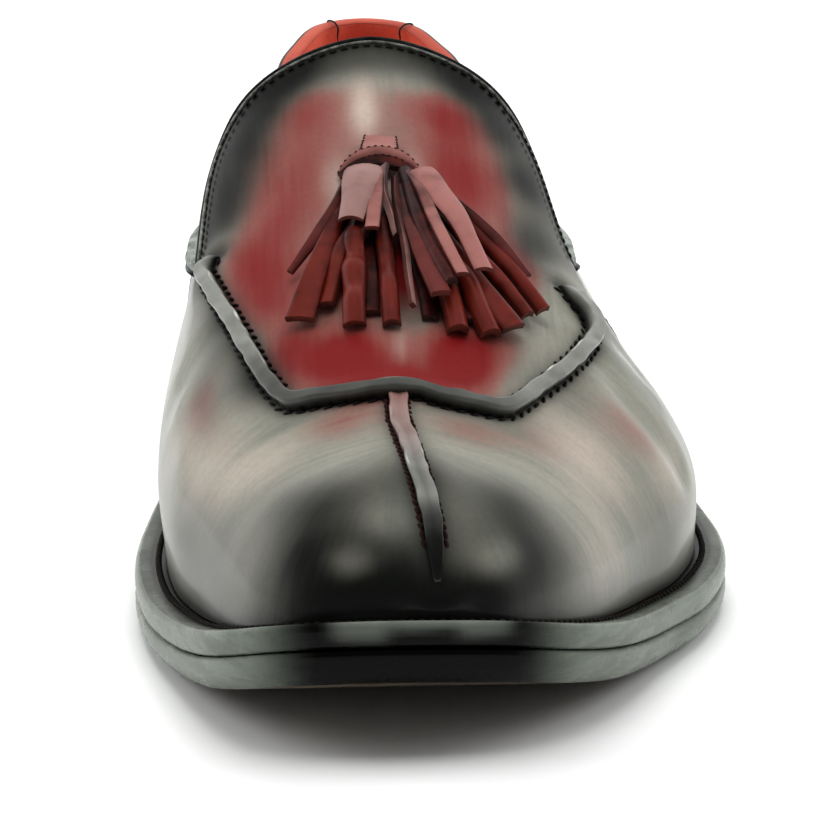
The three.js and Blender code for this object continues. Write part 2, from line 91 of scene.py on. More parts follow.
def soleRise(y):
    y = np.asarray(y, float)
    ahead = (yAt(last["springShare"]) - y) / (last["springShare"] * last["length"])
    toe = last["toeSpring"] * np.clip(ahead, 0, None) ** last["springCurve"]
    shank, breast = yAt(last["shankShare"]), yAt(last["breastShare"])
    share = np.clip((y - shank) / (breast - shank), 0, 1)
    arch = (last["heelHeight"] - last["seatPitch"]) * share * share * (3 - 2 * share)
    seat = last["seatPitch"] * np.clip(y - breast, 0, None) / (yAt(1) - breast)
    return toe + arch + seat


def footHeight(y):
    return soleRise(y) + last["footBase"]


def cubic(before, start, end, after, share):
    return 0.5 * (2 * start + (end - before) * share
                  + (2 * before - 5 * start + 4 * end - after) * share ** 2
                  + (3 * start - 3 * end + after - before) * share ** 3)


def ringRow(k):
    onMedial = k <= half
    row = last["stations"][k if onMedial else around - k]
    walls = row[3:6] if onMedial else row[6:9]
    x = row[1] if onMedial else row[2]
    return (x * last["ballWidth"], float(yAt(row[0])), *walls, row[9] * last["weltReach"])


ringRows = np.array([ringRow(k) for k in range(around)])
crestRows = np.array(last["crest"])
crestY = yAt(crestRows[:, 0])
crestSpans = np.vstack([crestRows[1:], crestRows[-1:]]) - np.vstack([crestRows[:1], crestRows[:-1]])
crestSlopes = crestSpans[:, 1:] / crestSpans[:, :1]


def outline(place):
    place = np.asarray(place, float) % around
    k = np.floor(place).astype(int)
    rows = [ringRows[(k + step) % around] for step in (-1, 0, 1, 2)]
    return cubic(*rows, (place - k)[..., None])


def insetAt(place, depth):
    along = outline(np.asarray(place) + 0.02)[..., :2] - outline(np.asarray(place) - 0.02)[..., :2]
    along /= np.linalg.norm(along, axis=-1, keepdims=True)
    inward = np.stack([along[..., 1], -along[..., 0]], -1)
    return outline(place)[..., :2] + inward * np.asarray(depth)[..., None]


def crestAt(y):
    y = np.clip(y, crestY[0], crestY[-1])
    k = np.clip(np.searchsorted(crestY, y), 1, len(crestY) - 1)
    span = (crestRows[k, 0] - crestRows[k - 1, 0])[..., None]
    share = ((y / last["length"] + 0.5) - crestRows[k - 1, 0])[..., None] / span
    rest = 1 - share
    value = (crestRows[k - 1, 1:] * (1 + 2 * share) * rest ** 2 + crestRows[k, 1:] * share ** 2 * (3 - 2 * share)
             + crestSlopes[k - 1] * span * share * rest ** 2 - crestSlopes[k] * span * share ** 2 * rest)
    return np.stack([value[..., 1] * last["ballWidth"], y,
                     footHeight(y) + value[..., 0] * last["instepHeight"]], -1)


def crestSlope(y):
    reach = 0.013 * last["length"]
    start, end = crestAt(y - reach), crestAt(y + reach)
    return (end[..., 2] - start[..., 2]) / np.maximum(end[..., 1] - start[..., 1], reach)


def lastPoint(place, up):
    place, up = np.broadcast_arrays(np.asarray(place, float), np.asarray(up, float))
    row = outline(place)
    foot = insetAt(place, row[..., 5])
    top = crestAt(row[..., 1])
    base = footHeight(foot[..., 1])
    height = top[..., 2] - base
    out = foot - top[..., :2]
    reach = np.linalg.norm(out, axis=-1)
    acrossShare = (out[..., 0] / reach) ** 2
    toToe = np.clip(-out[..., 1] / reach, 0, None)
    overRise = toToe * crestSlope(top[..., 1]) * row[..., 4] * reach / height
    one = np.ones_like(reach)
    widths = np.stack([one, one, row[..., 2], row[..., 3], row[..., 4], 0 * one, -row[..., 4]], -1)
    heights = np.stack([-0.3 * one, 0 * one, 0.3 * one, 0.6 * one, 0.85 * one, one,
                        1 - 0.15 * acrossShare + overRise], -1)
    start = np.clip(np.floor(up * 4).astype(int), 0, 3)
    share = up * 4 - start
    pick = [np.take_along_axis(widths, (start + i)[..., None], -1)[..., 0] for i in range(4)]
    rise = [np.take_along_axis(heights, (start + i)[..., None], -1)[..., 0] for i in range(4)]
    width, lift = cubic(*pick, share), cubic(*rise, share)
    return drawIn(np.stack([top[..., 0] + out[..., 0] * width, top[..., 1] + out[..., 1] * width,
                            base + height * lift], -1))


def smooth(value, low, high):
    share = np.clip((value - low) / (high - low), 0, 1)
    return share * share * (3 - 2 * share)


# the collar grips the heel: heights where it starts and is full, then share, from y, to y
collarGrip = {"heights": (16, 46), "steps": [(0.08, -14, 24), (0.13, 60, 122), (0.12, 118, 142)]}


def drawIn(points):
    x, y, z = points[..., 0], points[..., 1], points[..., 2]
    grip = smooth(z - footHeight(y), *collarGrip["heights"]) * sum(
        share * smooth(y, start, end) for share, start, end in collarGrip["steps"])
    return np.stack([x - (x - last["heelMiddle"]) * grip, y, z], -1)


def unit(vectors):
    return vectors / np.maximum(np.linalg.norm(vectors, axis=-1, keepdims=True), 1e-9)


def lastNormal(place, up):
    place, up = np.broadcast_arrays(np.asarray(place, float), np.asarray(up, float))
    step = 0.01
    below = np.minimum(up, 1 - step)
    roundWay = lastPoint(place + step, below) - lastPoint(place - step, below)
    rise = lastPoint(place, below + step) - lastPoint(place, np.maximum(0, below - step))
    normal = unit(np.cross(rise, roundWay))
    slope = crestSlope(crestAt(outline(place)[..., 1])[..., 1])
    crown = unit(np.stack([0 * slope, -slope, 1 + 0 * slope], -1))
    return np.where((up > 1 - step)[..., None], crown, normal)


def turn(station, side):
    return station if side < 0 else around - station


def curveThrough(points, count):
    points = np.asarray(points, float)
    padded = np.vstack([points[:1], points, points[-1:]])
    place = np.linspace(0, len(points) - 1 - 1e-9, count)
    k = np.floor(place).astype(int)
    return cubic(padded[k], padded[k + 1], padded[k + 2], padded[k + 3], (place - k)[:, None])


def evenly(points, count, extra=None):
    steps = np.linalg.norm(np.diff(points, axis=0), axis=1)
    length = np.concatenate([[0], np.cumsum(steps)])
    wanted = np.linspace(0, length[-1], count)
    source = points if extra is None else extra
    return np.stack([np.interp(wanted, length, source[:, i]) for i in range(source.shape[1])], 1)


def sideLine(table, size, count):
    rows = np.array(table, float)
    y = yAt(rows[:, 0])
    return curveThrough(np.stack([y, footHeight(y) + rows[:, 1] * size], 1), count)


def bisect(low, high, isPast, rounds=26):
    for _ in range(rounds):
        middle = (low + high) / 2
        past = isPast(middle)
        high = np.where(past, middle, high)
        low = np.where(past, low, middle)
    return (low + high) / 2


def sidePlace(y, z, side):
    low, high = np.full(len(y), 4.0), np.full(len(y), float(half))

    def station(up):
        return bisect(low, high, lambda s: lastPoint(turn(s, side), up)[:, 1] > y, 20)

    up = bisect(np.zeros(len(y)), np.ones(len(y)),
                lambda share: lastPoint(turn(station(share), side), share)[:, 2] > z, 20)
    return station(up), up


tongueLine = sideLine(last["tongueEdge"], last["instepHeight"], 160)
toplineCurve = sideLine(last["topline"], last["backHeight"], 160)
notch = tongueLine[0]
rimLine = np.vstack([notch, toplineCurve])


def topUp(station, side):
    station = np.atleast_1d(np.asarray(station, float))

    def isOver(up):
        spot = lastPoint(turn(station, side), up)
        return spot[:, 2] > np.interp(spot[:, 1], rimLine[:, 0], rimLine[:, 1])

    return bisect(np.full(len(station), 0.05), np.full(len(station), 0.97), isOver)


print("last ready")

# ---- mesh helpers


def gridFaces(columns, rows, offset=0, closed=False, flip=False):
    span = columns if closed else columns - 1
    i, j = np.meshgrid(np.arange(span), np.arange(rows - 1), indexing="ij")
    a = offset + i * rows + j
    b = offset + (i + 1) % columns * rows + j
    quads = np.stack([a, a + 1, b + 1, b], -1).reshape(-1, 4)
    return quads[:, ::-1] if flip else quads


def mergeClose(points):
    keys = np.round(points[:, :3] * 2000 + 0.37).astype(np.int64)
    _, first, index = np.unique(keys, axis=0, return_index=True, return_inverse=True)
    return points[first], index.reshape(-1)


def weld(blocks):
    points = np.vstack([block.reshape(-1, block.shape[-1]) for block, _ in blocks])
    faces, offset = [], 0
    for block, options in blocks:
        faces.append(gridFaces(block.shape[0], block.shape[1], offset, **options))
        offset += block.shape[0] * block.shape[1]
    points, index = mergeClose(points)
    rings = [[v for k, v in enumerate(face) if v != face[k - 1]] for face in index[np.vstack(faces)]]
    return points, [ring for ring in rings if len(set(ring)) > 2]


def vertexNormals(points, faces):
    total = np.zeros_like(points)
    for ring in faces:
        a, b, c = points[ring[0]], points[ring[1]], points[ring[2]]
        d = points[ring[-1]]
        total[ring] += np.cross(b - a, c - a) + (np.cross(c - a, d - a) if len(ring) > 3 else 0)
    return unit(total)


def shell(points, faces, depth):
    inner = points - vertexNormals(points, faces) * depth
    count = len(points)
    seen = {}
    for ring in faces:
        for k, v in enumerate(ring):
            seen[(ring[k - 1], v)] = True
    rim = [[b, a, a + count, b + count] for (a, b) in seen if (b, a) not in seen]
    back = [[v + count for v in reversed(ring)] for ring in faces]
    slots = [0] * len(faces) + [1] * len(back) + [2] * len(rim)
    return np.vstack([points, inner]), list(faces) + back + rim, slots


def makePiece(name, points, faces, looks, slots=None, sharp=None):
    mesh = bpy.data.meshes.new(name)
    mesh.from_pydata((np.asarray(points) * mm).tolist(), [], [list(map(int, f)) for f in faces])
    for look in looks:
        mesh.materials.append(look)
    if slots is not None:
        mesh.polygons.foreach_set("material_index", slots)
    if mesh.validate():
        print(name, "was mended")
    mesh.shade_smooth()
    if sharp:
        mesh.set_sharp_from_angle(angle=math.radians(sharp))
    mesh.update()
    piece = bpy.data.objects.new(name, mesh)
    bpy.context.scene.collection.objects.link(piece)
    return piece


def spanned(near, far, across):
    share = np.linspace(0, 1, across)[None, :, None]
    return near[:, None] * (1 - share) + far[:, None] * share


def loftRings(rings, across):
    blocks = [(np.stack(rings, 1), {"closed": True})]
    count = len(rings[0])
    for ring, flip in ((rings[0], False), (rings[-1], True)):
        far = ring[-np.arange(count // 2 + 1) % count]
        blocks.append((spanned(ring[:count // 2 + 1], far, across), {"flip": flip}))
    return weld(blocks)


def pathFrames(points, normals):
    along = unit(np.gradient(points, axis=0))
    side = unit(np.cross(normals, along))
    return side, np.cross(along, side)


def sweep(points, normals, sections):
    side, up = pathFrames(points, normals)
    rings = points[:, None] + side[:, None] * sections[..., :1] + up[:, None] * sections[..., 1:]
    block = np.swapaxes(rings, 0, 1)
    body, faces = weld([(block, {"closed": True})])
    total, links = body.tolist(), list(faces)
    for ring, flip in ((rings[0], False), (rings[-1], True)):
        middle = ring.mean(0)
        start = len(total)
        total += ring.tolist() + [middle.tolist()]
        count = len(ring)
        for k in range(count):
            tri = [start + k, start + (k + 1) % count, start + count]
            links.append(tri[::-1] if flip else tri)
    return np.array(total), links


def closeUp(points, faces):
    points, index = mergeClose(points)
    kept = [[int(index[v]) for v in ring] for ring in faces]
    return points, [ring for ring in kept if len(set(ring)) == len(ring)]


def outward(points, faces):
    volume = 0.0
    for ring in faces:
        for k in range(1, len(ring) - 1):
            a, b, c = points[ring[0]], points[ring[k]], points[ring[k + 1]]
            volume += np.dot(a, np.cross(b, c))
    return [list(reversed(ring)) for ring in faces] if volume < 0 else faces


def settle(piece, slot, *nodes):
    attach(piece, "root")
    if nodes:
        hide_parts(*nodes)
    return piece


def setFloat(piece, name, values):
    layer = piece.data.attributes.new(name, "FLOAT", "POINT")
    layer.data.foreach_set("value", np.asarray(values, np.float32))


def setFlow(piece, flow):
    rows = np.concatenate([flow, 0 * flow[:, :1]], 1) * mm
    layer = piece.data.attributes.new("flow", "FLOAT_VECTOR", "POINT")
    layer.data.foreach_set("vector", np.vstack([rows, rows]).ravel())


def coordsOf(piece):
    coords = np.empty(len(piece.data.vertices) * 3, np.float32)
    piece.data.vertices.foreach_get("co", coords)
    return coords.reshape(-1, 3).astype(float) / mm


def distanceTo(points, lines):
    best = np.full(len(points), 1e9)
    for line in lines:
        for start in range(0, len(points), 4000):
            chunk = points[start:start + 4000]
            gap = np.linalg.norm(chunk[:, None] - line[None], axis=2).min(1)
            best[start:start + 4000] = np.minimum(best[start:start + 4000], gap)
    return best


# ---- materials


class Wire:
    def __init__(self, look, socket):
        self.look = look
        self.socket = socket

    def __add__(self, other):
        return self.look.maths("ADD", self, other)

    def __sub__(self, other):
        return self.look.maths("SUBTRACT", self, other)

    def __mul__(self, other):
        return self.look.maths("MULTIPLY", self, other)

    __radd__ = __add__


class Look:
    def __init__(self, name, tree=None):
        if tree is None:
            self.material = bpy.data.materials.new(name)
            self.material.use_nodes = True
            tree = self.material.node_tree
            tree.nodes.clear()
        self.tree = tree

    def node(self, kind, settings=None, values=None, output=0):
        made = self.tree.nodes.new(kind)
        for key, value in (settings or {}).items():
            setattr(made, key, value)
        for key, value in (values or {}).items():
            if isinstance(value, Wire):
                self.tree.links.new(value.socket, made.inputs[key])
            else:
                made.inputs[key].default_value = value
        return Wire(self, made.outputs[output])

    def maths(self, operation, *inputs):
        return self.node("ShaderNodeMath", {"operation": operation}, dict(enumerate(inputs)))

    def ramp(self, wire, low, high):
        return self.node("ShaderNodeMapRange", {"interpolation_type": "SMOOTHSTEP"},
                         {"Value": wire, "From Min": low, "From Max": high})

    def mix(self, factor, first, second):
        made = self.tree.nodes.new("ShaderNodeMix")
        made.data_type = "RGBA"
        for k, value in ((0, factor), (6, first), (7, second)):
            if isinstance(value, Wire):
                self.tree.links.new(value.socket, made.inputs[k])
            else:
                made.inputs[k].default_value = value if k == 0 else rgb(value)
        return Wire(self, made.outputs[2])

    def attribute(self, name, output="Fac"):
        return self.node("ShaderNodeAttribute", {"attribute_name": name}, output=output)

    def place(self, scale=(1, 1, 1)):
        coords = self.node("ShaderNodeTexCoord", output="Object")
        return self.node("ShaderNodeMapping", None, {"Vector": coords, "Scale": scale})

    def noise(self, scale, detail=3.0, where=None, rough=0.5):
        return self.node("ShaderNodeTexNoise", None, {
            "Vector": where or self.place(), "Scale": scale, "Detail": detail, "Roughness": rough})

    def bump(self, height, strength, distance, under=None):
        values = {"Height": height, "Strength": strength, "Distance": distance * mm}
        if under is not None:
            values["Normal"] = under
        return self.node("ShaderNodeBump", None, values)

    def finish(self, **sockets):
        shader = self.tree.nodes.new("ShaderNodeBsdfPrincipled")
        for key, value in sockets.items():
            socket = shader.inputs[key.replace("_", " ")]
            if isinstance(value, Wire):
                self.tree.links.new(value.socket, socket)
            else:
                socket.default_value = rgb(value) if isinstance(value, tuple) else value
        out = self.tree.nodes.new("ShaderNodeOutputMaterial")
        self.tree.links.new(shader.outputs[0], out.inputs[0])
        return self.material


def rgb(colour):
    if len(colour) == 4:
        return colour
    return (*[channel / 12.92 if channel <= 0.04045 else ((channel + 0.055) / 1.055) ** 2.4
              for channel in colour], 1.0)


leatherTones = {
    "grey": (0.47, 0.48, 0.44), "warm": (0.59, 0.58, 0.53), "red": (0.47, 0.08, 0.085),
    "pink": (0.53, 0.32, 0.29), "dark": (0.052, 0.062, 0.052), "pale": (0.76, 0.70, 0.65),
    "ior": 1.27, "coat": 0.3, "coatIor": 1.3, "coatRoughness": 0.1,
}


def burnishedLook(name, tones):
    # red patina; dark patina with painted shade by the seams and the foot and a painted dark reflection on the toe;
    # pale marks; all over a grey brushed along the flow
    look = Look(name)
    flow = look.attribute("flow", "Vector")
    stroke = look.node("ShaderNodeMapping", None, {"Vector": flow, "Scale": (1.0, 0.06, 1.0)})
    cloud = look.noise(60.0, 3.0)
    wide = look.noise(95.0, 3.0, stroke, 0.6)
    hair = look.noise(900.0, 3.0, stroke, 0.6)
    fine = look.noise(900.0, 2.0)
    grain = look.node("ShaderNodeTexVoronoi", {"feature": "DISTANCE_TO_EDGE"},
                      {"Vector": look.place(), "Scale": 1500.0})
    stir = cloud * 0.3 + wide * 0.5 + hair * 0.2 - 0.5
    red = look.ramp(look.attribute("red") + stir * 0.6, 0.1, 0.95)
    dark = look.ramp(look.attribute("dark") + stir * 0.55, 0.08, 0.95)
    pale = look.ramp(look.attribute("pale") + stir * 0.5, 0.08, 1.0)
    base = look.mix(look.ramp(wide * 0.7 + hair * 0.3, 0.36, 0.64), tones["grey"], tones["warm"])
    base = look.mix(look.ramp(red, 0.0, 0.5), base, tones["pink"])
    base = look.mix(look.ramp(red, 0.35, 0.95), base, tones["red"])
    base = look.mix(pale, base, tones["pale"])
    base = look.mix(dark, base, tones["dark"])
    base = look.mix(look.ramp(fine, 0.35, 0.8) * 0.10, base, tones["dark"])
    rough = 0.26 + wide * 0.12 + hair * 0.08
    skin = look.bump(grain, 0.12, 0.05)
    return look.finish(Base_Color=base, Roughness=rough, IOR=tones["ior"], Coat_Weight=tones["coat"],
                       Coat_Roughness=tones["coatRoughness"], Coat_IOR=tones["coatIor"],
                       Normal=look.bump(hair, 0.06, 0.2, skin))


def plainLook(name, low, high, scale, roughness, coat, bumpSize=0.08):
    look = Look(name)
    wide = look.noise(scale, 4.0, rough=0.6)
    fine = look.noise(scale * 9.0, 2.0)
    colour = look.mix(look.ramp(wide + (fine - 0.5) * 0.3, 0.32, 0.7), low, high)
    return look.finish(Base_Color=colour, Roughness=wide * 0.18 + (roughness - 0.09), IOR=1.32,
                       Coat_Weight=coat, Coat_Roughness=0.16, Coat_IOR=1.34,
                       Normal=look.bump(wide * 0.5 + fine * 0.5, 0.35, bumpSize))


def edgeInk(name, low, high):
    # painted sole edge: worn grey, black where the ink is thick at the toe, with painted shade on the welt's top
    # along the upper and painted glints on the welt at the toe
    look = Look(name)
    wide = look.noise(70.0, 4.0, look.place((1.0, 1.0, 5.0)), 0.6)
    fine = look.noise(900.0, 2.0)
    colour = look.mix(look.ramp(wide + (fine - 0.5) * 0.2, 0.2, 0.85), low, high)
    # dark: ink at the toe, and painted shade along the welt's top by the upper
    inkAndWeltShade = look.ramp(look.attribute("dark") + (wide - 0.5) * 0.3, 0.1, 0.85)
    colour = look.mix(inkAndWeltShade, colour, (0.015, 0.017, 0.014))
    # pale: painted glints on the welt at the toe
    colour = look.mix(look.attribute("pale"), colour, (0.44, 0.46, 0.43))
    return look.finish(Base_Color=colour, Roughness=0.2 + wide * 0.14, IOR=1.17,
                       Normal=look.bump(fine, 0.2, 0.05))


def stripLook(name, low, high, roughness):
    # cut leather strip: painted shade darkens it toward its root, its edges and its underside
    look = Look(name)
    cloud = look.noise(260.0, 3.0)
    fine = look.noise(2200.0, 2.0)
    tone = look.attribute("light") + (cloud - 0.5) * 1.1
    colour = look.mix(look.ramp(tone, 0.0, 1.05), low, high)
    return look.finish(Base_Color=colour, Roughness=cloud * 0.16 + (roughness - 0.08), IOR=1.36,
                       Coat_Weight=0.12, Coat_Roughness=0.25, Normal=look.bump(fine, 0.3, 0.06))


def ridgeLook(name):
    # a raised seam: painted shade at its foot, a painted highlight along its crown and outer edge
    look = Look(name)
    brush = look.noise(160.0, 4.0)
    crown = look.attribute("crown")
    colour = look.mix(look.ramp(crown, 0.1, 0.75), (0.05, 0.05, 0.047), (0.53, 0.535, 0.51))
    colour = look.mix(look.ramp(brush, 0.35, 0.75) * 0.35, colour, (0.12, 0.12, 0.11))
    colour = look.mix(look.ramp(crown + (brush - 0.5) * 0.5, 0.86, 1.02), colour, (0.80, 0.81, 0.77))
    colour = look.mix(look.attribute("blush") * 0.8, colour, (0.58, 0.41, 0.385))
    colour = look.mix(look.attribute("shade"), colour, (0.035, 0.037, 0.033))
    return look.finish(Base_Color=colour, Roughness=0.28 + brush * 0.2, IOR=1.32, Coat_Weight=0.6,
                       Coat_Roughness=0.14, Coat_IOR=1.34, Normal=look.bump(brush, 0.4, 0.12))


def liningLook(name, low, high):
    look = Look(name)
    cloud = look.noise(60.0, 4.0)
    pores = look.noise(1400.0, 2.0)
    colour = look.mix(look.ramp(cloud, 0.25, 0.8), low, high)
    colour = look.mix(look.ramp(pores, 0.55, 0.8) * 0.4, colour, (0.45, 0.12, 0.09))
    return look.finish(Base_Color=colour, Roughness=0.42 + cloud * 0.1, Coat_Weight=0.15,
                       Coat_Roughness=0.3, Normal=look.bump(pores, 0.25, 0.06))


upperLook = burnishedLook("upperLeather", leatherTones)
# the lining is given a paler tone than its own, painted light in the shaded heel cavity and on the insole; the
# binding keeps the darker tone
innerLook = liningLook("liningLeather", (0.84, 0.36, 0.27), (0.97, 0.52, 0.42))
bindLook = liningLook("liningBinding", (0.62, 0.23, 0.17), (0.80, 0.36, 0.27))
edgeLook = plainLook("cutEdge", (0.04, 0.04, 0.038), (0.13, 0.12, 0.11), 260.0, 0.42, 0.3)
pipeLook = plainLook("edgePiping", (0.025, 0.026, 0.024), (0.13, 0.135, 0.125), 420.0, 0.34, 0.2, 0.05)
# a pale thin line: the painted highlight along the tongue's piping
highlightPipe = plainLook("edgeLine", (0.20, 0.205, 0.19), (0.52, 0.53, 0.50), 700.0, 0.34, 0.2, 0.05)
ridgeSkin = ridgeLook("seamRidge")
threadLook = plainLook("darkThread", (0.025, 0.022, 0.02), (0.10, 0.07, 0.06), 3000.0, 0.62, 0.0, 0.04)
brownThread = plainLook("brownThread", (0.05, 0.02, 0.018), (0.20, 0.08, 0.07), 3000.0, 0.6, 0.0, 0.04)
soleLook = edgeInk("soleEdge", (0.36, 0.38, 0.345), (0.50, 0.53, 0.49))
weltLook = edgeInk("weltTop", (0.22, 0.23, 0.21), (0.40, 0.42, 0.385))
bottomLook = plainLook("soleLeather", (0.26, 0.22, 0.18), (0.38, 0.33, 0.27), 40.0, 0.5, 0.1, 0.12)
heelLook = edgeInk("heelLifts", (0.10, 0.10, 0.095), (0.24, 0.24, 0.225))
rubberLook = plainLook("heelRubber", (0.035, 0.035, 0.035), (0.075, 0.075, 0.075), 300.0, 0.72, 0.0, 0.12)
goreLook = plainLook("goreElastic", (0.42, 0.44, 0.42), (0.66, 0.68, 0.66), 420.0, 0.8, 0.0, 0.15)
stripLooks = {kind: stripLook("tassel" + kind.capitalize(), *tones) for kind, *tones in (
    ("grain", (0.26, 0.13, 0.12), (0.56, 0.42, 0.40), 0.4),
    ("rose", (0.24, 0.085, 0.08), (0.60, 0.38, 0.355), 0.4),
    ("dusk", (0.09, 0.022, 0.018), (0.38, 0.15, 0.135), 0.42),
    ("flesh", (0.045, 0.011, 0.009), (0.40, 0.11, 0.07), 0.36),
    ("cut", (0.14, 0.04, 0.03), (0.40, 0.16, 0.12), 0.6))}
print("materials ready")

# ---- stitches: one Geometry Nodes tree lays them along a path


def stitchTree():
    tree = bpy.data.node_groups.new("stitchRow", "GeometryNodeTree")
    for name, kind in (("Geometry", "NodeSocketGeometry"), ("Pitch", "NodeSocketFloat"),
                       ("Length", "NodeSocketFloat"), ("Thickness", "NodeSocketFloat"),
                       ("Slant", "NodeSocketFloat"), ("Wander", "NodeSocketFloat"),
                       ("Thread", "NodeSocketMaterial")):
        tree.interface.new_socket(name=name, in_out="INPUT", socket_type=kind)
    tree.interface.new_socket(name="Geometry", in_out="OUTPUT", socket_type="NodeSocketGeometry")
    look = Look("stitchRow", tree)
    given = tree.nodes.new("NodeGroupInput")
    wires = {socket.name: Wire(look, socket) for socket in given.outputs if socket.name}
    curve = look.node("GeometryNodeMeshToCurve", None, {"Mesh": wires["Geometry"]})
    spaced = look.node("GeometryNodeResampleCurve", {"mode": "LENGTH"},
                       {"Curve": curve, "Length": wires["Pitch"]})
    lean = look.node("GeometryNodeInputNamedAttribute", {"data_type": "FLOAT_VECTOR"}, {"Name": "lean"})
    tangent = look.node("GeometryNodeInputTangent")
    standing = look.node("FunctionNodeAlignRotationToVector", {"axis": "Z"}, {"Vector": lean})
    along = look.node("FunctionNodeAlignRotationToVector", {"axis": "X", "pivot_axis": "Z"},
                      {"Rotation": standing, "Vector": tangent})
    shake = randomWire(look, 7)
    angle = look.node("ShaderNodeMath", {"operation": "MULTIPLY_ADD"},
                      {0: shake, 1: wires["Wander"], 2: wires["Slant"]})
    spin = look.node("ShaderNodeCombineXYZ", None, {"Z": angle})
    turned = look.node("FunctionNodeEulerToRotation", None, {"Euler": spin})
    leant = look.node("FunctionNodeRotateRotation", {"rotation_space": "LOCAL"},
                      {"Rotation": along, "Rotate By": turned})
    seed = look.node("GeometryNodeMeshUVSphere", None, {"Segments": 8, "Rings": 6, "Radius": 0.5})
    size = look.node("ShaderNodeCombineXYZ", None,
                     {"X": wires["Length"], "Y": wires["Thickness"], "Z": wires["Thickness"]})
    rows = look.node("GeometryNodeInstanceOnPoints", None,
                     {"Points": spaced, "Instance": seed, "Rotation": leant, "Scale": size})
    real = look.node("GeometryNodeRealizeInstances", None, {"Geometry": rows})
    smooth = look.node("GeometryNodeSetShadeSmooth", None, {"Geometry": real})
    done = look.node("GeometryNodeSetMaterial", None, {"Geometry": smooth, "Material": wires["Thread"]})
    out = tree.nodes.new("NodeGroupOutput")
    tree.links.new(done.socket, out.inputs[0])
    return tree


def randomWire(look, seed):
    made = look.tree.nodes.new("FunctionNodeRandomValue")
    made.data_type = "FLOAT"
    sockets = {socket.identifier: socket for socket in made.inputs}
    sockets["Min_001"].default_value = -1.0
    sockets["Max_001"].default_value = 1.0
    sockets["Seed"].default_value = seed
    return Wire(look, {socket.identifier: socket for socket in made.outputs}["Value_001"])


stitchNodes = stitchTree()


# pitch, length and thickness in mm, slant and wander in radians
stitchKinds = {
    "apron": (2.6, 1.9, 0.75, 0.35, 0.25), "toe": (1.6, 1.75, 0.85, 0.35, 0.25), "rim": (2.3, 1.7, 0.5, 0.0, 0.08),
    "front": (2.4, 1.7, 0.5, 0.0, 0.08), "welt": (1.7, 1.5, 1.0, 0.7, 0.15), "pinking": (1.3, 0.8, 0.5, 0.0, 0.9),
}


def stitchRow(name, rows, thread, slot, kind):
    mesh = bpy.data.meshes.new(name)
    pitch, length, thickness, slant, wander = stitchKinds[kind]
    points, leans, edges = [], [], []
    for line, normals in rows:
        start = len(points)
        points += (line * mm).tolist()
        leans += normals.tolist()
        edges += [(start + k, start + k + 1) for k in range(len(line) - 1)]
    mesh.from_pydata(points, edges, [])
    mesh.attributes.new("lean", "FLOAT_VECTOR", "POINT").data.foreach_set("vector", np.ravel(leans))
    guide = bpy.data.objects.new(name, mesh)
    bpy.context.scene.collection.objects.link(guide)
    modifier = guide.modifiers.new("stitches", "NODES")
    modifier.node_group = stitchNodes
    given = {"Pitch": pitch * mm, "Length": length * mm, "Thickness": thickness * mm,
             "Slant": slant, "Wander": wander, "Thread": thread}
    for item in stitchNodes.interface.items_tree:
        if item.in_out == "INPUT" and item.name in given:
            modifier[item.identifier] = given[item.name]
    graph = bpy.context.evaluated_depsgraph_get()
    made = bpy.data.meshes.new_from_object(guide.evaluated_get(graph), depsgraph=graph)
    guide.modifiers.clear()
    old = guide.data
    guide.data = made
    bpy.data.meshes.remove(old)
    return settle(guide, slot)


# ---- lines on the last


def onLast(stations, across):
    # a station along the last and a share across it: -1 and 1 at the foot, 0 on the crest
    place = np.where(across < 0, stations, around - stations)
    up = 1 - np.abs(across)
    return lastPoint(place, up), lastNormal(place, up)


def seamLine(table, count):
    rows = curveThrough(table, 1200)
    spots, _ = onLast(rows[:, 0], rows[:, 1])
    even = evenly(spots, count, rows)
    points, normals = onLast(even[:, 0], even[:, 1])
    return points, smoothed(normals, 6)


def smoothed(values, rounds):
    values = values.copy()
    for _ in range(rounds):
        values[1:-1] = (values[:-2] + 2 * values[1:-1] + values[2:]) / 4
    return unit(values)


apronTable = [
    (6.58, -0.262), (6.55, -0.285), (6.46, -0.3), (6.25, -0.287), (5.9, -0.267), (5.45, -0.245), (4.9, -0.228),
    (4.6, -0.217), (4.43, -0.21), (4.3, -0.196), (4.22, -0.15),
    (4.15, -0.09), (4.12, -0.035), (4.12, 0), (4.12, 0.035), (4.05, 0.08), (4.05, 0.135), (4.1, 0.187),
    (4.27, 0.21), (4.6, 0.232), (5, 0.262), (5.3, 0.288), (5.6, 0.31), (5.8, 0.315), (5.92, 0.302), (6.0, 0.277),
    (6.12, 0.25)]
toeSpots = [
    (-8.8, -99.0, 50.6), (-8.8, -107.5, 47.8), (-7.9, -114.3, 45.8), (-7.1, -121.6, 43.9), (-6.4, -128.2, 42.0),
    (-5.7, -133.3, 39.6), (-5.1, -136.6, 37.2), (-4.7, -139.4, 34.4), (-4.5, -141.6, 31.6), (-4.4, -143.4, 28.4)]
apronLine, apronNormals = seamLine(apronTable, 420)
toeLine = evenly(curveThrough(toeSpots, 400), 170)

tongueEdges = {}
for side in (-1, 1):
    stations, ups = sidePlace(tongueLine[:, 0], tongueLine[:, 1], side)
    keep = ups < 0.998
    crestStation = stations[keep][-1]
    pairs = np.vstack([np.stack([stations[keep], ups[keep]], 1), [[crestStation, 1.0]]])
    fine = np.stack([np.interp(np.linspace(0, 1, 900), np.linspace(0, 1, len(pairs)), pairs[:, k])
                     for k in range(2)], 1)
    spots = lastPoint(turn(fine[:, 0], side), fine[:, 1])
    tongueEdges[side] = evenly(spots, 49, fine)
peak = (tongueEdges[-1][-1, 0] + tongueEdges[1][-1, 0]) / 2
for side in (-1, 1):
    tongueEdges[side][-1] = (peak, 1.0)
crestNotch = (tongueEdges[-1][0, 0] + tongueEdges[1][0, 0]) / 2
print("seam lines ready")

# ---- upper: vamp, tongue and collar wall in one skin

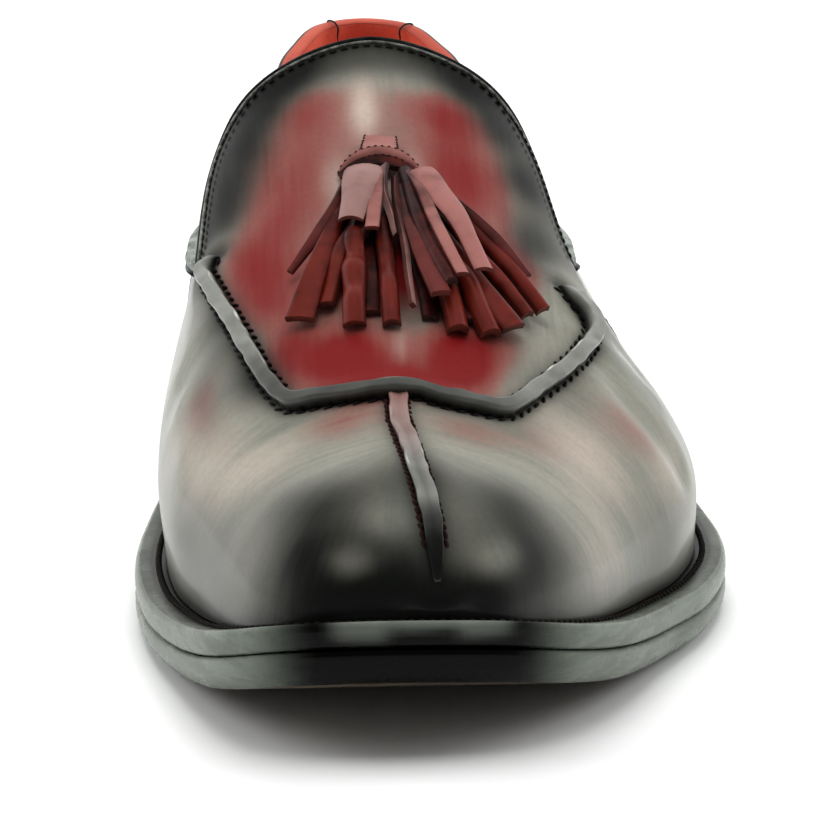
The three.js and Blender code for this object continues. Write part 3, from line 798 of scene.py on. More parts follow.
upperShape = {"rowsBelow": 44, "rowsAbove": 26, "columnsFront": 104, "columnsBack": 112}
toeRelax = {"reach": 26.0, "rounds": 12, "keep": 0.4}
alongOutline = np.concatenate([[0], np.cumsum([
    np.linalg.norm(outline(k / 10 + 0.1)[:2] - outline(k / 10)[:2]) for k in range(10 * half)])])


def inApron(station, across):
    edge = [(14.5, -0.34)] + [row[:2] for row in apronTable] + [(14.5, 0.34)]
    inside = np.zeros(station.shape, bool)
    for (s0, a0), (s1, a1) in zip(edge, edge[1:] + edge[:1]):
        if a0 != a1:
            crossing = (a0 > across) != (a1 > across)
            inside ^= crossing & (station < s0 + (across - a0) / (a1 - a0) * (s1 - s0))
    return inside


def flowPoint(station, side, up):
    # the point, and where it lies along the brush strokes: across them, then along them
    station, up = np.broadcast_arrays(np.asarray(station, float), np.asarray(up, float))
    spot = lastPoint(turn(station, side), up)
    roundWay = np.interp(station, np.arange(len(alongOutline)) / 10, alongOutline) * side
    centre = inApron(station, (1 - up) * side)
    across = np.where(centre, spot[..., 0] + 700, roundWay)
    along = np.where(centre, spot[..., 1], up * 70)
    return np.concatenate([spot, across[..., None], along[..., None]], -1)


def upperBlocks():
    below, above = upperShape["rowsBelow"], upperShape["rowsAbove"]
    blocks = []
    notchUp = {side: tongueEdges[side][0, 1] for side in (-1, 1)}
    notchStation = {side: tongueEdges[side][0, 0] for side in (-1, 1)}
    share = np.linspace(-1, 1, 2 * upperShape["columnsFront"] + 1)  # lateral notch, toe, medial notch
    columns = []
    for k, amount in enumerate(share):
        side = -1 if amount >= 0 else 1
        blend = abs(amount)
        meet = (notchUp[-1] + notchUp[1]) / 2
        knee = meet + (notchUp[side] - meet) * blend
        rows = np.concatenate([np.linspace(0, knee, below + 1), np.linspace(knee, 1, above + 1)[1:]])
        skew = np.clip((rows - knee) / (1 - knee), 0, 1)
        station = blend * (notchStation[side] * (1 - skew) + crestNotch * skew)
        columns.append(flowPoint(station, side, rows))
    blocks.append((np.stack(columns), {}))
    stations = {side: np.linspace(notchStation[side], half, upperShape["columnsBack"] + 1) for side in (-1, 1)}
    for side in (-1, 1):
        tops = topUp(stations[side], side)
        tops[0] = notchUp[side]
        grid = np.stack([flowPoint(s, side, np.linspace(0, top, below + 1))
                         for s, top in zip(stations[side], tops)])
        blocks.append((grid, {"flip": side > 0}))
    count = len(tongueEdges[-1])
    crestStations = np.linspace(crestNotch, peak, count)
    for side in (-1, 1):
        grid = []
        for k in range(count):
            s = np.linspace(tongueEdges[side][k, 0], crestStations[k], above + 1)
            up = np.linspace(tongueEdges[side][k, 1], 1, above + 1)
            grid.append(flowPoint(s, side, up))
        blocks.append((np.stack(grid), {"flip": side > 0}))
    return blocks


def relaxToe(points, faces):
    # evens out the fan of faces where the crest starts over the toe
    pole = crestAt(crestY[0])
    gap = np.linalg.norm(points - pole, axis=1)
    weight = np.clip(1 - gap / toeRelax["reach"], 0, 1)[:, None]
    near = np.nonzero(weight[:, 0] > 0)[0]
    links = {int(v): set() for v in near}
    for ring in faces:
        for k, v in enumerate(ring):
            if v in links:
                links[v].update((ring[k - 1], ring[(k + 1) % len(ring)]))
    moved = points.copy()
    for _ in range(toeRelax["rounds"]):
        fresh = moved.copy()
        for v, others in links.items():
            fresh[v] = moved[v] * toeRelax["keep"] + moved[list(others)].mean(0) * (1 - toeRelax["keep"])
        moved = moved + (fresh - moved) * weight
    return moved


# soft troughs in the leather: points on the surface, depth in mm, half width in mm
creases = [
    ([(28, -71, 51.5), (32, -73.5, 47.5), (35, -75.5, 43), (40, -75, 37), (44.5, -73, 30)], 0.7, 3.2),
    ([(27, -60, 55), (33, -58, 50), (38, -57, 45)], 0.45, 3.6),
    ([(-40, -62, 53), (-44, -62, 47), (-47.5, -61, 40)], 0.4, 4.0),
    ([(-36, -88, 46), (-40.5, -88, 41), (-44, -88, 34)], 0.35, 4.5),
    ([(40, -30, 57), (46, -26, 50), (50, -22, 40)], 0.4, 4.5),
]


def pressCreases(points, faces):
    normals = vertexNormals(points, faces)
    depth = np.zeros(len(points))
    for line, deep, width in creases:
        path = evenly(curveThrough(line, 60), 60)
        gap = distanceTo(points, [path])
        depth += deep * np.exp(-(gap / width) ** 2) - 0.35 * deep * np.exp(-((gap - 2 * width) / width) ** 2)
    seams = distanceTo(points, [apronLine, toeLine])
    depth += 0.25 * np.exp(-(seams / 1.6) ** 2) - 0.3 * np.exp(-((seams - 4.2) / 2.4) ** 2)
    return points - normals * depth[:, None]


# colour laid on in listed spots: place, radii and strength; the toe's dark spots are black burnish deepened by a
# painted dark reflection, and glow holds painted highlights, glints that take some of the dark off the black toe
# again
patina = {
    "red": [
        ((-27, -30, 76), (13, 28, 16), 0.55), ((8, -32, 76), (13, 28, 16), 0.62), ((9, -28, 78), (5, 20, 9), 0.3),
        ((-34, -50, 65), (7, 12, 9), 0.6), ((-8, -24, 83), (22, 24, 12), 0.35), ((-30, -42, 70), (6, 12, 8), 0.3),
        ((-21, -8, 88), (8, 10, 9), 0.45), ((7, -9, 87), (7, 9, 9), 0.6), ((-7, -8, 90), (14, 10, 10), 0.25),
        ((-17, -86, 54), (10, 12, 9), 0.95), ((3, -86, 53.5), (9, 11, 9), 0.95), ((-8, -95, 52), (12, 6, 7), 0.85),
        ((-8, -62, 66), (19, 14, 12), 0.9), ((14, -54, 63), (8, 12, 9), 0.6), ((-31, -62, 60), (7, 14, 8), 0.6),
        ((-27, -80, 54), (5, 12, 6), 0.6), ((-43, -78, 44), (8, 12, 10), 0.4), ((-38, -95, 40), (8, 9, 8), 0.22),
        ((37, -82, 38), (9, 13, 10), 0.28), ((29, -86, 43), (12, 11, 9), 0.26), ((-20, -106, 46), (14, 9, 7), 0.36),
        ((3, -108, 45), (12, 8, 6), 0.38), ((18, -101, 41), (10, 8, 7), 0.38), ((10, -78, 56), (7, 9, 8), 0.4),
        ((-42, 52, 48), (10, 34, 14), 0.3),
        ((36, 66, 50), (10, 38, 14), 0.3), ((-12, 147, 58), (26, 12, 14), 0.22), ((-40, 96, 60), (10, 22, 8), 0.26),
    ],
    "dark": [
        # the toe: black burnish, deepened as a painted dark reflection of the room in front of it
        ((-15, -145, 28), (12, 12, 9), 0.95), ((1, -142, 27), (12, 12, 9), 0.95),
        ((-7, -147, 22), (22, 14, 8), 0.95),
        ((-24, -138, 31), (8, 9, 7), 0.85), ((-22, -131, 38), (10, 9, 7), 0.6), ((-29, -124, 37), (9, 10, 8), 0.42),
        ((11, -134, 30), (7, 9, 8), 0.8), ((9, -127, 37), (9, 9, 7), 0.58), ((-8, -127, 41), (16, 10, 7), 0.52),
        ((18, -128, 29), (8, 9, 8), 0.35), ((-38, -122, 22), (12, 24, 12), 0.35),
        ((-47, -98, 20), (10, 22, 12), 0.25),
        ((11, -76, 56), (8, 12, 8), 0.35), ((-43, -76, 45), (6, 10, 8), 0.4), ((-34, -83, 50), (6, 15, 6), 0.6),
        ((-40, -64, 54), (6, 14, 7), 0.5), ((-9, 4, 95.5), (24, 7, 8), 0.5), ((-39, -26, 72), (6, 10, 8), 0.55),
        ((-32, -18, 80), (7, 14, 9), 0.22), ((27, -88, 47), (6, 9, 5), 0.35), ((33, -52, 55), (6, 14, 7), 0.4),
        ((-48, -15, 45), (9, 26, 18), 0.35), ((44, -15, 45), (10, 26, 18), 0.35), ((19, -42, 66), (5, 16, 9), 0.45),
        ((-38, 120, 40), (10, 26, 22), 0.45), ((32, 120, 40), (10, 26, 22), 0.45),
        ((-48, -96, 22), (9, 22, 9), 0.35),
        ((42, -92, 20), (9, 22, 9), 0.35), ((-27, 6, 93), (9, 9, 9), 0.75),
        ((-31, -1, 88), (7, 10, 9), 0.75), ((-35, -10, 82), (7, 11, 9), 0.75), ((-38, -20, 76), (7, 11, 9), 0.7),
        ((-39, -31, 70), (6, 9, 8), 0.35), ((12, 2, 91), (8, 8, 9), 0.8), ((17, -6, 84), (8, 11, 9), 0.8),
        ((21, -20, 76), (7, 12, 9), 0.85), ((21, -41, 67), (7, 11, 9), 0.6),
        ((-30, 8, 92), (12, 8, 12), 0.7), ((14, 8, 92), (12, 8, 12), 0.7), ((-8, -72, 61), (20, 4, 6), 0.35),
    ],
    "pale": [
        ((-11, -12, 91), (2.8, 11, 10), 0.75), ((-17, -33, 79), (4, 12, 7), 0.5), ((-2, -30, 80), (3, 12, 7), 0.45),
        ((-7.6, -84, 56), (2.0, 8, 7), 0.4), ((26, -98, 36), (13, 14, 11), 0.5), ((26, -116, 24), (8, 12, 9), 0.4),
        ((-38, -100, 36), (7, 11, 9), 0.45), ((19, -76, 53), (6, 12, 8), 0.35), ((14, -91, 48.5), (6, 6, 5), 0.35),
        ((-31, -108, 41), (9, 9, 8), 0.45), ((22, -98, 41), (10, 9, 8), 0.45), ((-45, -84, 36), (6, 20, 8), 0.45),
        ((42, -80, 31), (6, 20, 8), 0.4), ((-12, -12, 91), (12, 16, 12), 0.3),
    ],
    "glow": [
        # painted highlights: glints in the black toe and one beside the toe seam
        ((-18.5, -141, 31.5), (4.5, 7, 2.8), 0.42), ((6, -138.5, 31), (4.6, 7, 3), 0.47),
        ((0, -140, 32), (7, 7, 4), 0.22), ((-12.5, -137, 37.5), (4, 6, 2.6), 0.25),
    ],
}


# ink gathers at edges in a narrow and a wide band; by the seams a narrow painted shade line beside the raised seam
# and a wide band of ink; at the foot a painted shade just over the welt and a wide darkening towards the bottom:
# strength, reach
inkAndShadeBands = {"edge": ((0.85, 3.0), (0.6, 9.0)), "seam": ((0.7, 2.2), (0.3, 6.0)), "foot": ((0.7, 2.6), (0.3, 20.0))}


def blotches(points, spots):
    left = np.ones(len(points))
    for centre, radii, strength in spots:
        off = ((points - np.array(centre)) / np.array(radii)) ** 2
        left *= 1 - strength * np.exp(-off.sum(1))
    return 1 - left


def patinaAt(points, edgeGap, seamGap):
    made = {name: blotches(points, spots) for name, spots in patina.items()}
    low = np.clip(points[:, 2] - footHeight(points[:, 1]), 0, None)
    clear = 1 - made["dark"]
    # the narrow seam band and the foot bands are painted shade
    for gap, bands in ((edgeGap, inkAndShadeBands["edge"]), (seamGap, inkAndShadeBands["seam"]), (low, inkAndShadeBands["foot"][1:])):
        for strength, reach in bands:
            clear *= 1 - strength * np.exp(-(gap / reach) ** 2)
    strength, reach = inkAndShadeBands["foot"][0]
    clear *= 1 - strength * np.exp(-low / reach)
    made["dark"] = (1 - clear) * (1 - made.pop("glow"))
    return made


def paint(piece, edges, seams):
    points = coordsOf(piece)
    edgeGap = distanceTo(points, edges)
    seamGap = distanceTo(points, seams) if seams else np.full(len(points), 99.0)
    for name, values in patinaAt(points, edgeGap, seamGap).items():
        setFloat(piece, name, values)


def edgeOf(side):
    rows = tongueEdges[side]
    place = turn(rows[:, 0], side)
    return lastPoint(place, rows[:, 1]), lastNormal(place, rows[:, 1])


def toplineOf():
    stations = np.linspace(0, 1, 150)
    lines, normals = [], []
    for side in (-1, 1):
        s = tongueEdges[side][0, 0] + (half - tongueEdges[side][0, 0]) * stations
        up = topUp(s, side)
        place = turn(s, side)
        lines.append(lastPoint(place, up))
        normals.append(lastNormal(place, up))
    return joined(lines), smoothed(joined(normals), 3)


def joined(halves):
    return np.vstack([halves[0], halves[1][::-1][1:]])


tongueHalves = [edgeOf(side) for side in (-1, 1)]
tongueRim = joined([line for line, _ in tongueHalves])
tongueRimNormals = smoothed(joined([normals for _, normals in tongueHalves]), 2)
topRim, topRimNormals = toplineOf()

skinPoints, skinFaces = weld(upperBlocks())
skinPoints, skinFlow = skinPoints[:, :3], skinPoints[:, 3:]
skinPoints = pressCreases(relaxToe(skinPoints, skinFaces), skinFaces)
skinTree = BVHTree.FromPolygons([Vector(p) for p in skinPoints.tolist()],
                                [list(map(int, ring)) for ring in skinFaces])
landed = [skinTree.find_nearest(Vector(p))[:2] for p in toeLine]
toeLine = np.array([spot for spot, _ in landed])
toeNormals = smoothed(np.array([normal for _, normal in landed]), 8)
shellPoints, shellFaces, shellSlots = shell(skinPoints, skinFaces, last["wall"])
upper = makePiece("upperSkin", shellPoints, shellFaces, [upperLook, innerLook, edgeLook], shellSlots, 50)
paint(upper, [tongueRim, topRim], [apronLine, toeLine])
setFlow(upper, skinFlow)
settle(upper, "upper_leather", "upper")
print("upper", len(upper.data.polygons))

# ---- quarters over the rear of the upper

quarterShape = {"inner": 0.3, "outer": 1.5, "columns": 120, "rows": 44}


def quarterSkin():
    edge = sideLine(last["quarterEdge"], last["backHeight"], 90)
    order = np.argsort(edge[:, 1])
    edgeZ, edgeY = edge[order, 1], edge[order, 0]
    blocks, fronts = [], []
    for side in (-1, 1):
        def frontStation(up):
            up = np.atleast_1d(up)

            def isBehind(s):
                spot = lastPoint(turn(s, side), up)
                return spot[:, 1] > np.interp(spot[:, 2], edgeZ, edgeY)

            return bisect(np.full(len(up), 6.0), np.full(len(up), 10.0), isBehind)

        corner = sidePlace(toplineCurve[:1, 0], toplineCurve[:1, 1], side)
        topStations = np.linspace(float(corner[0][0]), half, quarterShape["columns"] + 1)
        tops = topUp(topStations, side)
        front = frontStation(np.linspace(0, tops[0], quarterShape["rows"] + 1))
        grid = np.stack([
            flowPoint(front + (half - front) * (k / quarterShape["columns"]), side,
                      np.linspace(0, top, quarterShape["rows"] + 1))
            for k, top in enumerate(tops)])
        fronts.append(grid[0, :, :3])
        blocks.append((grid, {"flip": side > 0}))
    return weld(blocks), fronts


(quarterPoints, quarterFaces), quarterFronts = quarterSkin()
quarterPoints, quarterFlow = quarterPoints[:, :3], quarterPoints[:, 3:]
quarterNormals = vertexNormals(quarterPoints, quarterFaces)
outer, outerFaces, outerSlots = shell(quarterPoints + quarterNormals * quarterShape["outer"], quarterFaces,
                                      quarterShape["outer"] - quarterShape["inner"])
quarters = makePiece("quarterSkin", outer, outerFaces, [upperLook, upperLook, edgeLook], outerSlots, 50)
paint(quarters, [topRim] + quarterFronts, [])
setFlow(quarters, quarterFlow)
settle(quarters, "quarter_leather", "quarters")
print("quarters", len(quarters.data.polygons))

# ---- raised seams

apronRidge = {"half": 1.4, "height": 2.8, "sunk": 0.8, "bothEdges": False, "outer": 1, "dip": 0.0}
toeRidge = {"half": 1.55, "height": 1.9, "sunk": 0.8, "bothEdges": True, "outer": 1, "dip": 0.22}
ridgeProfile = np.array([(-1.0, -1.0), (-0.94, 0.3), (-1.06, 0.62), (-1.05, 0.82), (-0.88, 0.96), (-0.55, 0.98),
                         (0.0, 0.95), (0.55, 0.98), (0.88, 0.96), (1.05, 0.82), (1.06, 0.62), (0.94, 0.3),
                         (1.0, -1.0)])


def ripple(length, seed, waves):
    random.seed(seed)
    total = np.zeros_like(length)
    for wave, size in waves:
        total += size * np.sin(length / wave * 2 * math.pi + random.uniform(0, 6.28))
    return total


def makeRidge(name, line, normals, size, endTaper, seed):
    length = np.concatenate([[0], np.cumsum(np.linalg.norm(np.diff(line, axis=0), axis=1))])
    fade = np.ones(len(line))
    for at, reach in ((0, endTaper[0]), (length[-1], endTaper[1])):
        if reach:
            fade *= np.clip(np.abs(length - at) / reach, 0, 1) ** 0.6
    tall = size["height"] * (1 + ripple(length, seed, ((13, 0.03), (5.1, 0.012)))) * fade
    wide = size["half"] * (1 + ripple(length, seed + 1, ((9, 0.04), (4.3, 0.025)))) * (0.25 + 0.75 * fade)
    lean = ripple(length, seed + 2, ((17, 0.14), (6.3, 0.07)))
    wideMarks, tallMarks = ridgeProfile.T
    up = tallMarks * np.where(tallMarks < 0, size["sunk"], tall[:, None])
    across = wideMarks * wide[:, None] + lean[:, None] * np.clip(up, 0, None) / size["height"]
    twist = ripple(length, seed + 3, ((9.5, 0.05), (4.7, 0.03)))[:, None] * wideMarks
    up = up + np.where(tallMarks > 0.7, twist * size["height"] * 0.4, 0)
    up = up - size["dip"] * tall[:, None] * np.where(tallMarks > 0.9, 1 - wideMarks ** 2, 0)
    points, faces = closeUp(*sweep(line, normals, np.stack([across, up], -1)))
    piece = makePiece(name, points, outward(points, faces), [ridgeSkin], None, 60)
    spots = coordsOf(piece)
    gaps = np.linalg.norm(spots[:, None] - line[None, ::2], axis=2)
    nearest = gaps.argmin(1) * 2
    height = ((spots - line[nearest]) * normals[nearest]).sum(1)
    side, _ = pathFrames(line, normals)
    offset = ((spots - line[nearest]) * side[nearest]).sum(1) / size["half"]
    # crown: a painted highlight rising with height over the seam, strongest along the outer edge; on the toe seam
    # along both edges
    rim = np.clip(height / size["height"], 0, 1)
    edgeHighlight = np.clip(np.abs(offset) if size["bothEdges"] else size["outer"] * offset, 0, 1)
    return piece, length[nearest] / length[-1], rim * (0.66 + 0.34 * edgeHighlight ** 2)


apron, along, crown = makeRidge("apronSeam", apronLine, apronNormals, apronRidge, (3.5, 4.5), 3)
setFloat(apron, "crown", crown)
setFloat(apron, "blush", 0 * along)
setFloat(apron, "shade", 0.7 * np.exp(-((along - 0.48) / 0.19) ** 6))
settle(apron, "seam_leather", "apron_seam")

toe, along, crown = makeRidge("toeSeam", toeLine, toeNormals, toeRidge, (0.0, 10.0), 12)
# gleam: a painted highlight midway down the toe seam, where its painted shade is lifted
gleam = 0.85 * np.exp(-((along - 0.7) / 0.045) ** 2)
setFloat(toe, "crown", crown * (1 - smooth(along, 0.8, 0.97)))
setFloat(toe, "blush", np.clip(1.1 - along / 0.5, 0, 1))
setFloat(toe, "shade", 0.97 * smooth(along, 0.5, 0.9) * (1 - gleam))
settle(toe, "seam_leather", "toe_seam")


def besideLine(line, normals, offset, lift):
    side, _ = pathFrames(line, normals)
    return line + side * offset + normals * lift, normals


for kind, line, normals, beside, thread in (
        ("apron", apronLine[4:-4], apronNormals[4:-4], 2.0, threadLook),
        ("toe", toeLine[10:-22], toeNormals[10:-22], 1.95, brownThread)):
    rows = [besideLine(line, normals, offset, 0.18) for offset in (-beside, beside)]
    stitchRow(kind + "Stitches", rows, thread, "seam_leather", kind)
print("seams")

# ---- piping and stitches along the edges


# how a roll tapers at its ends, and where the binding turns into the dark outer edge
rollShape = {"sides": 10, "taper": 3.0, "least": 0.1, "outerFrom": 0.75, "pastNotch": 3.0}


def roll(name, line, normals, wide, deep, sink, looks, slot):
    angles = np.linspace(0, 2 * math.pi, rollShape["sides"] + 1)[:-1]
    ring = np.stack([np.cos(angles) * deep, np.sin(angles) * wide - sink], -1)
    reach = np.cumsum(np.linalg.norm(np.gradient(line, axis=0), axis=1))
    fade = np.clip(np.minimum(reach, reach[-1] - reach) / rollShape["taper"] + rollShape["least"], 0, 1) ** 0.5
    sections = ring[None] * fade[:, None, None]
    points, faces = closeUp(*sweep(line, normals, sections))
    slots = None
    if len(looks) > 1:
        centres = np.array([points[face].mean(0) for face in faces])
        nearest = np.concatenate([np.linalg.norm(part[:, None] - line[None], axis=2).argmin(1)
                                  for part in np.array_split(centres, 8)])
        isOuter = ((centres - line[nearest]) * normals[nearest]).sum(1) > rollShape["outerFrom"]
        isFront = centres[:, 1] < toplineCurve[0, 0] + rollShape["pastNotch"]
        slots = (isOuter | isFront).astype(int).tolist()
    piece = makePiece(name, points, outward(points, faces), looks, slots)
    return settle(piece, slot)


# two dark marks over the collar's edge at the back, and their way over it: out, down
collarMarks = {"at": (-13.5, 6.0), "radius": 0.24,
               "drop": [(1.2, -1.5), (0.9, 0.55), (-1.4, 1.15), (-3.3, 0.3), (-3.2, -1.8), (-3.2, -3.4)]}
tongueFine = evenly(tongueRim, 260)
tongueFineNormals = smoothed(evenly(tongueRim, 260, tongueRimNormals), 4)
roll("tonguePiping", tongueFine, tongueFineNormals, 1.35, 0.75, 0.9, [pipeLook], "upper_leather")
# a pale thin roll beside the piping, a painted highlight along it
thinLine, thinNormals = besideLine(tongueFine[2:-2], tongueFineNormals[2:-2], -1.25, 0.05)
roll("tongueLine", thinLine, thinNormals, 0.32, 0.34, 0.0, [highlightPipe], "upper_leather")
topFine = evenly(topRim, 420)
topFineNormals = smoothed(evenly(topRim, 420, topRimNormals), 4)
roll("toplinePiping", topFine, topFineNormals, 1.9, 0.55, 0.35, [bindLook, pipeLook], "quarter_leather")
onQuarters = topFine[:, 1] > toplineCurve[0, 0] + 1
for name, line, normals, offset, lift in (
        ("tongueStitches", tongueFine, tongueFineNormals, -2.6, 0.1),
        ("toplineStitches", topFine[onQuarters], topFineNormals[onQuarters], 2.6, 1.62)):
    stitchRow(name, [besideLine(line[3:-3], normals[3:-3], offset, lift)], threadLook, "upper_leather", "rim")
for k, front in enumerate(quarterFronts):
    line = evenly(front[1:], 70)
    normals = smoothed(np.array([skinTree.find_nearest(Vector(p))[1] for p in line]), 4)
    inward = -2.2 if k else 2.2
    edge = besideLine(line, normals, inward * -0.12, 0.95)
    roll("quarterEdge%d" % k, *edge, 0.85, 0.55, 0.0, [pipeLook], "quarter_leather")
    stitchRow("frontStitches%d" % k, [besideLine(line[2:-2], normals[2:-2], inward, 1.6)],
              threadLook, "quarter_leather", "front")
for k, x in enumerate(collarMarks["at"]):
    spot = np.argmin(np.abs(topFine[:, 0] - x) + 99 * (topFine[:, 1] < 100))
    rim, out = topFine[spot], topFineNormals[spot]
    drop = [rim + out * across + np.array([0, 0, down]) for across, down in collarMarks["drop"]]
    path = evenly(curveThrough(drop, 50), 50)
    along = np.tile(unit(topFine[spot + 1] - topFine[spot - 1]), (len(path), 1))
    roll("collarMark%d" % k, path, along, collarMarks["radius"], collarMarks["radius"], 0.0, [pipeLook],
         "quarter_leather")
print("edges")

# ---- elastic gores in the notch

goreShape = {"sunk": 0.9, "bulge": 2.7, "thick": 0.9, "folds": 3.2, "fold": 0.28,
             "columns": 27, "rows": 13, "alongTongue": 17, "tuck": 0.012}


def makeGore(side):
    columns, rows, tuck = goreShape["columns"], goreShape["rows"], goreShape["tuck"]
    edge = tongueEdges[side][:goreShape["alongTongue"]]
    share, height = np.linspace(0, 1, columns), np.linspace(0, 1, rows)
    upperRow = evenly(lastPoint(turn(edge[:, 0], side), edge[:, 1]), columns, edge)
    corner = sidePlace(toplineCurve[:1, 0], toplineCurve[:1, 1], side)
    lowStation = edge[0, 0] + (float(corner[0][0]) - edge[0, 0]) * share
    lowUp = topUp(lowStation, side) - tuck
    grid = []
    for k in range(columns):
        place = turn(np.linspace(lowStation[k], upperRow[k, 0], rows), side)
        up = np.linspace(lowUp[k], upperRow[k, 1] + tuck, rows)
        wave = goreShape["fold"] * np.sin(height * goreShape["folds"] * 2 * math.pi + share[k] * 2.2)
        arc = np.sin(math.pi * height)
        puff = goreShape["bulge"] * math.sin(math.pi * min(share[k] * 1.25, 1)) ** 0.8 * arc ** 0.7
        raised = puff + wave * arc - goreShape["sunk"]
        grid.append(lastPoint(place, up) + lastNormal(place, up) * raised[:, None])
    points, faces = weld([(np.stack(grid), {"flip": side > 0})])
    points, faces, slots = shell(points, faces, goreShape["thick"])
    piece = makePiece("gore%s" % ("Medial" if side < 0 else "Lateral"), points, faces, [goreLook])
    return settle(piece, "gore_fabric", "gore_medial" if side < 0 else "gore_lateral")


for side in (-1, 1):
    makeGore(side)
print("gores")

# ---- sole, welt, heel and insole

soleColumns = 420
places = np.arange(soleColumns) / soleColumns * around
reachAt = outline(places)[:, 5]


def soleRing(inset, lift):
    spot = insetAt(places, inset + 0 * places)
    return np.concatenate([spot, (soleRise(spot[:, 1]) + lift)[:, None]], 1)


def footRing(inset, lift):
    return soleRing(reachAt + inset, lift)


def slotsByHeight(points, faces, isUnder):
    return [1 if isUnder(points[ring].mean(0)) else 0 for ring in faces]


def inkEdge(piece):
    # ink runs thick at the toe; on the welt's top alone, painted shade runs along the foot where the upper meets it
    points = coordsOf(piece)
    footGap = distanceTo(points[:, :2], [insetAt(places, reachAt)])
    footGap += 9 * (points[:, 2] - soleRise(points[:, 1]) < 10.1)
    dark = np.exp(-((points[:, 0] + 8) / 25) ** 4) * smooth(-points[:, 1], 110, 140)
    pale = np.zeros(len(points))
    # painted glints on the welt's front at the toe
    for x, z, wide, tall in ((-17.5, 28, 4.5, 3.0), (3.0, 28, 4.5, 3.0), (-7, 28, 7, 1.4)):
        pale += 0.8 * np.exp(-((points[:, 0] - x) / wide) ** 4 - ((points[:, 2] - z + 4) / tall) ** 4) * dark
    # painted shade on the welt's top beside the upper
    dark = np.maximum(dark, 0.95 * np.exp(-(footGap / 3.2) ** 4))
    setFloat(piece, "dark", dark)
    setFloat(piece, "pale", np.clip(pale, 0, 1))


bevel = [(3.4, 0.0), (2.4, 0.05), (1.5, 0.7), (0.6, 1.7), (0.12, 2.5), (0.0, 3.1), (0.0, 4.3), (0.12, 4.9),
         (0.45, 5.35), (1.1, 5.6)]
points, faces = loftRings([soleRing(inset, lift) for inset, lift in bevel], 11)
faces = outward(points, faces)
slots = slotsByHeight(points, faces, lambda p: p[2] - soleRise(p[1]) < 0.02)
outsole = makePiece("outsole", points, faces, [soleLook, bottomLook], slots, 50)
inkEdge(outsole)
settle(outsole, "sole_edge", "outsole")

weltEdge = [(1.1, 5.75), (0.35, 6.0), (0.08, 6.5), (0.0, 7.2), (0.0, 8.4), (0.1, 9.2), (0.4, 9.85), (0.9, 10.2),
            (1.5, 10.32), (2.2, 10.34), (3.2, 10.3)]
rings = [soleRing(inset, lift) for inset, lift in weltEdge]
rings += [footRing(2.0, 10.28), footRing(2.5, 10.1), footRing(2.5, 6.0), footRing(2.3, 5.75)]
block = np.stack(rings + rings[:1], 1)
points, faces = weld([(block, {"closed": True})])
faces = outward(points, faces)
slots = slotsByHeight(points, faces, lambda p: p[2] - soleRise(p[1]) > 10.15)
welt = makePiece("welt", points, faces, [soleLook, weltLook], slots, 50)
inkEdge(welt)
settle(welt, "sole_edge", "welt")

weltPath = footRing(-1.5, 10.42)
weltPath = np.vstack([weltPath, weltPath[:1]])
upward = np.tile([0.0, 0.0, 1.0], (len(weltPath), 1))
stitchRow("weltStitches", [(weltPath, upward)], threadLook, "sole_edge", "welt")

points, faces = loftRings([footRing(2.9, 5.95), footRing(2.9, 12.6), footRing(3.1, 13.1), footRing(3.7, 13.4)], 13)
insole = makePiece("insole", points, outward(points, faces), [innerLook], None, 50)
settle(insole, "insole_leather", "insole")


# four lifts, each a little wider than the one below, up to the gap under the outsole
heelShape = {"lifts": 4, "start": 6.3, "lift": 4.0, "inset": 1.9, "spread": 0.45, "gap": 0.3, "across": 15}


def heelPart(name, node, slot, levels, look):
    breast = float(yAt(last["breastShare"]))

    def topped(y, height):
        return np.minimum(height, soleRise(np.maximum(y, breast)) - heelShape["gap"])

    sides = []
    for inset, height in levels:
        spot = insetAt(places, inset + 0 * places)
        ring = np.concatenate([spot, topped(spot[:, 1], height)[:, None]], 1)
        if not sides:
            behind = ring[:, 1] > breast + 0.5
        arc = ring[behind]
        ends = arc[[0, -1]]
        ends[:, 1] = breast
        sides.append(np.vstack([ends[:1], arc, ends[1:]]))
    arcs = np.stack(sides, 1)
    front = np.swapaxes(spanned(arcs[-1], arcs[0], heelShape["across"]), 0, 1)
    blocks = [(arcs, {}), (front, {})]
    count = len(arcs) // 2 + 1
    for level, flip in ((0, False), (-1, True)):
        cap = spanned(arcs[:count, level], arcs[::-1][:count, level], heelShape["across"])
        if flip:
            cap[..., 2] = topped(cap[..., 1], levels[-1][1])
        blocks.append((cap, {"flip": flip}))
    points, faces = weld(blocks)
    settle(makePiece(name, points, outward(points, faces), [look], None, 40), slot, node)


liftLevels = []
for k in range(heelShape["lifts"]):
    low, high = (heelShape["start"] + heelShape["lift"] * (k + step) for step in (0, 1))
    base, top = (heelShape["inset"] - heelShape["spread"] * (k + step) for step in (0, 1))
    liftLevels += [(base + 0.35, low), (base, low + 0.35), (top + 0.02, high - 0.35), (top + 0.3, high - 0.02)]
heelPart("heelStack", "heel_stack", "heel_lifts", liftLevels, heelLook)
heelPart("heelTopPiece", "heel_top_piece", "heel_tip",
         [(2.9, 0.0), (2.3, 0.35), (2.05, 1.0), (1.95, 5.6), (2.3, 6.0)], rubberLook)
print("sole")

# ---- tassels and their tie


def overVamp(x, y, lift):
    hit, normal, _, _ = skinTree.ray_cast(Vector((x, y, 200)), Vector((0, 0, -1)))
    return np.array(hit) + np.array(normal) * lift, np.array(normal)


def vampPath(spots, widths, steps):
    placed = [overVamp(*spot) for spot in spots]
    path = evenly(curveThrough([spot for spot, _ in placed], steps), steps)
    lean = smoothed(curveThrough([normal for _, normal in placed], steps), 4)
    share = np.linspace(0, 1, steps)
    return path, lean, share, np.interp(share, np.linspace(0, 1, len(widths)), widths) / 2


# places across a cut strip, and how much its two edges are taken off
stripMarks = np.array([-1, -0.9, -0.6, -0.2, 0.2, 0.6, 0.9, 1])
stripChamfer = np.where(np.abs(stripMarks) > 0.95, 0.18, 0)


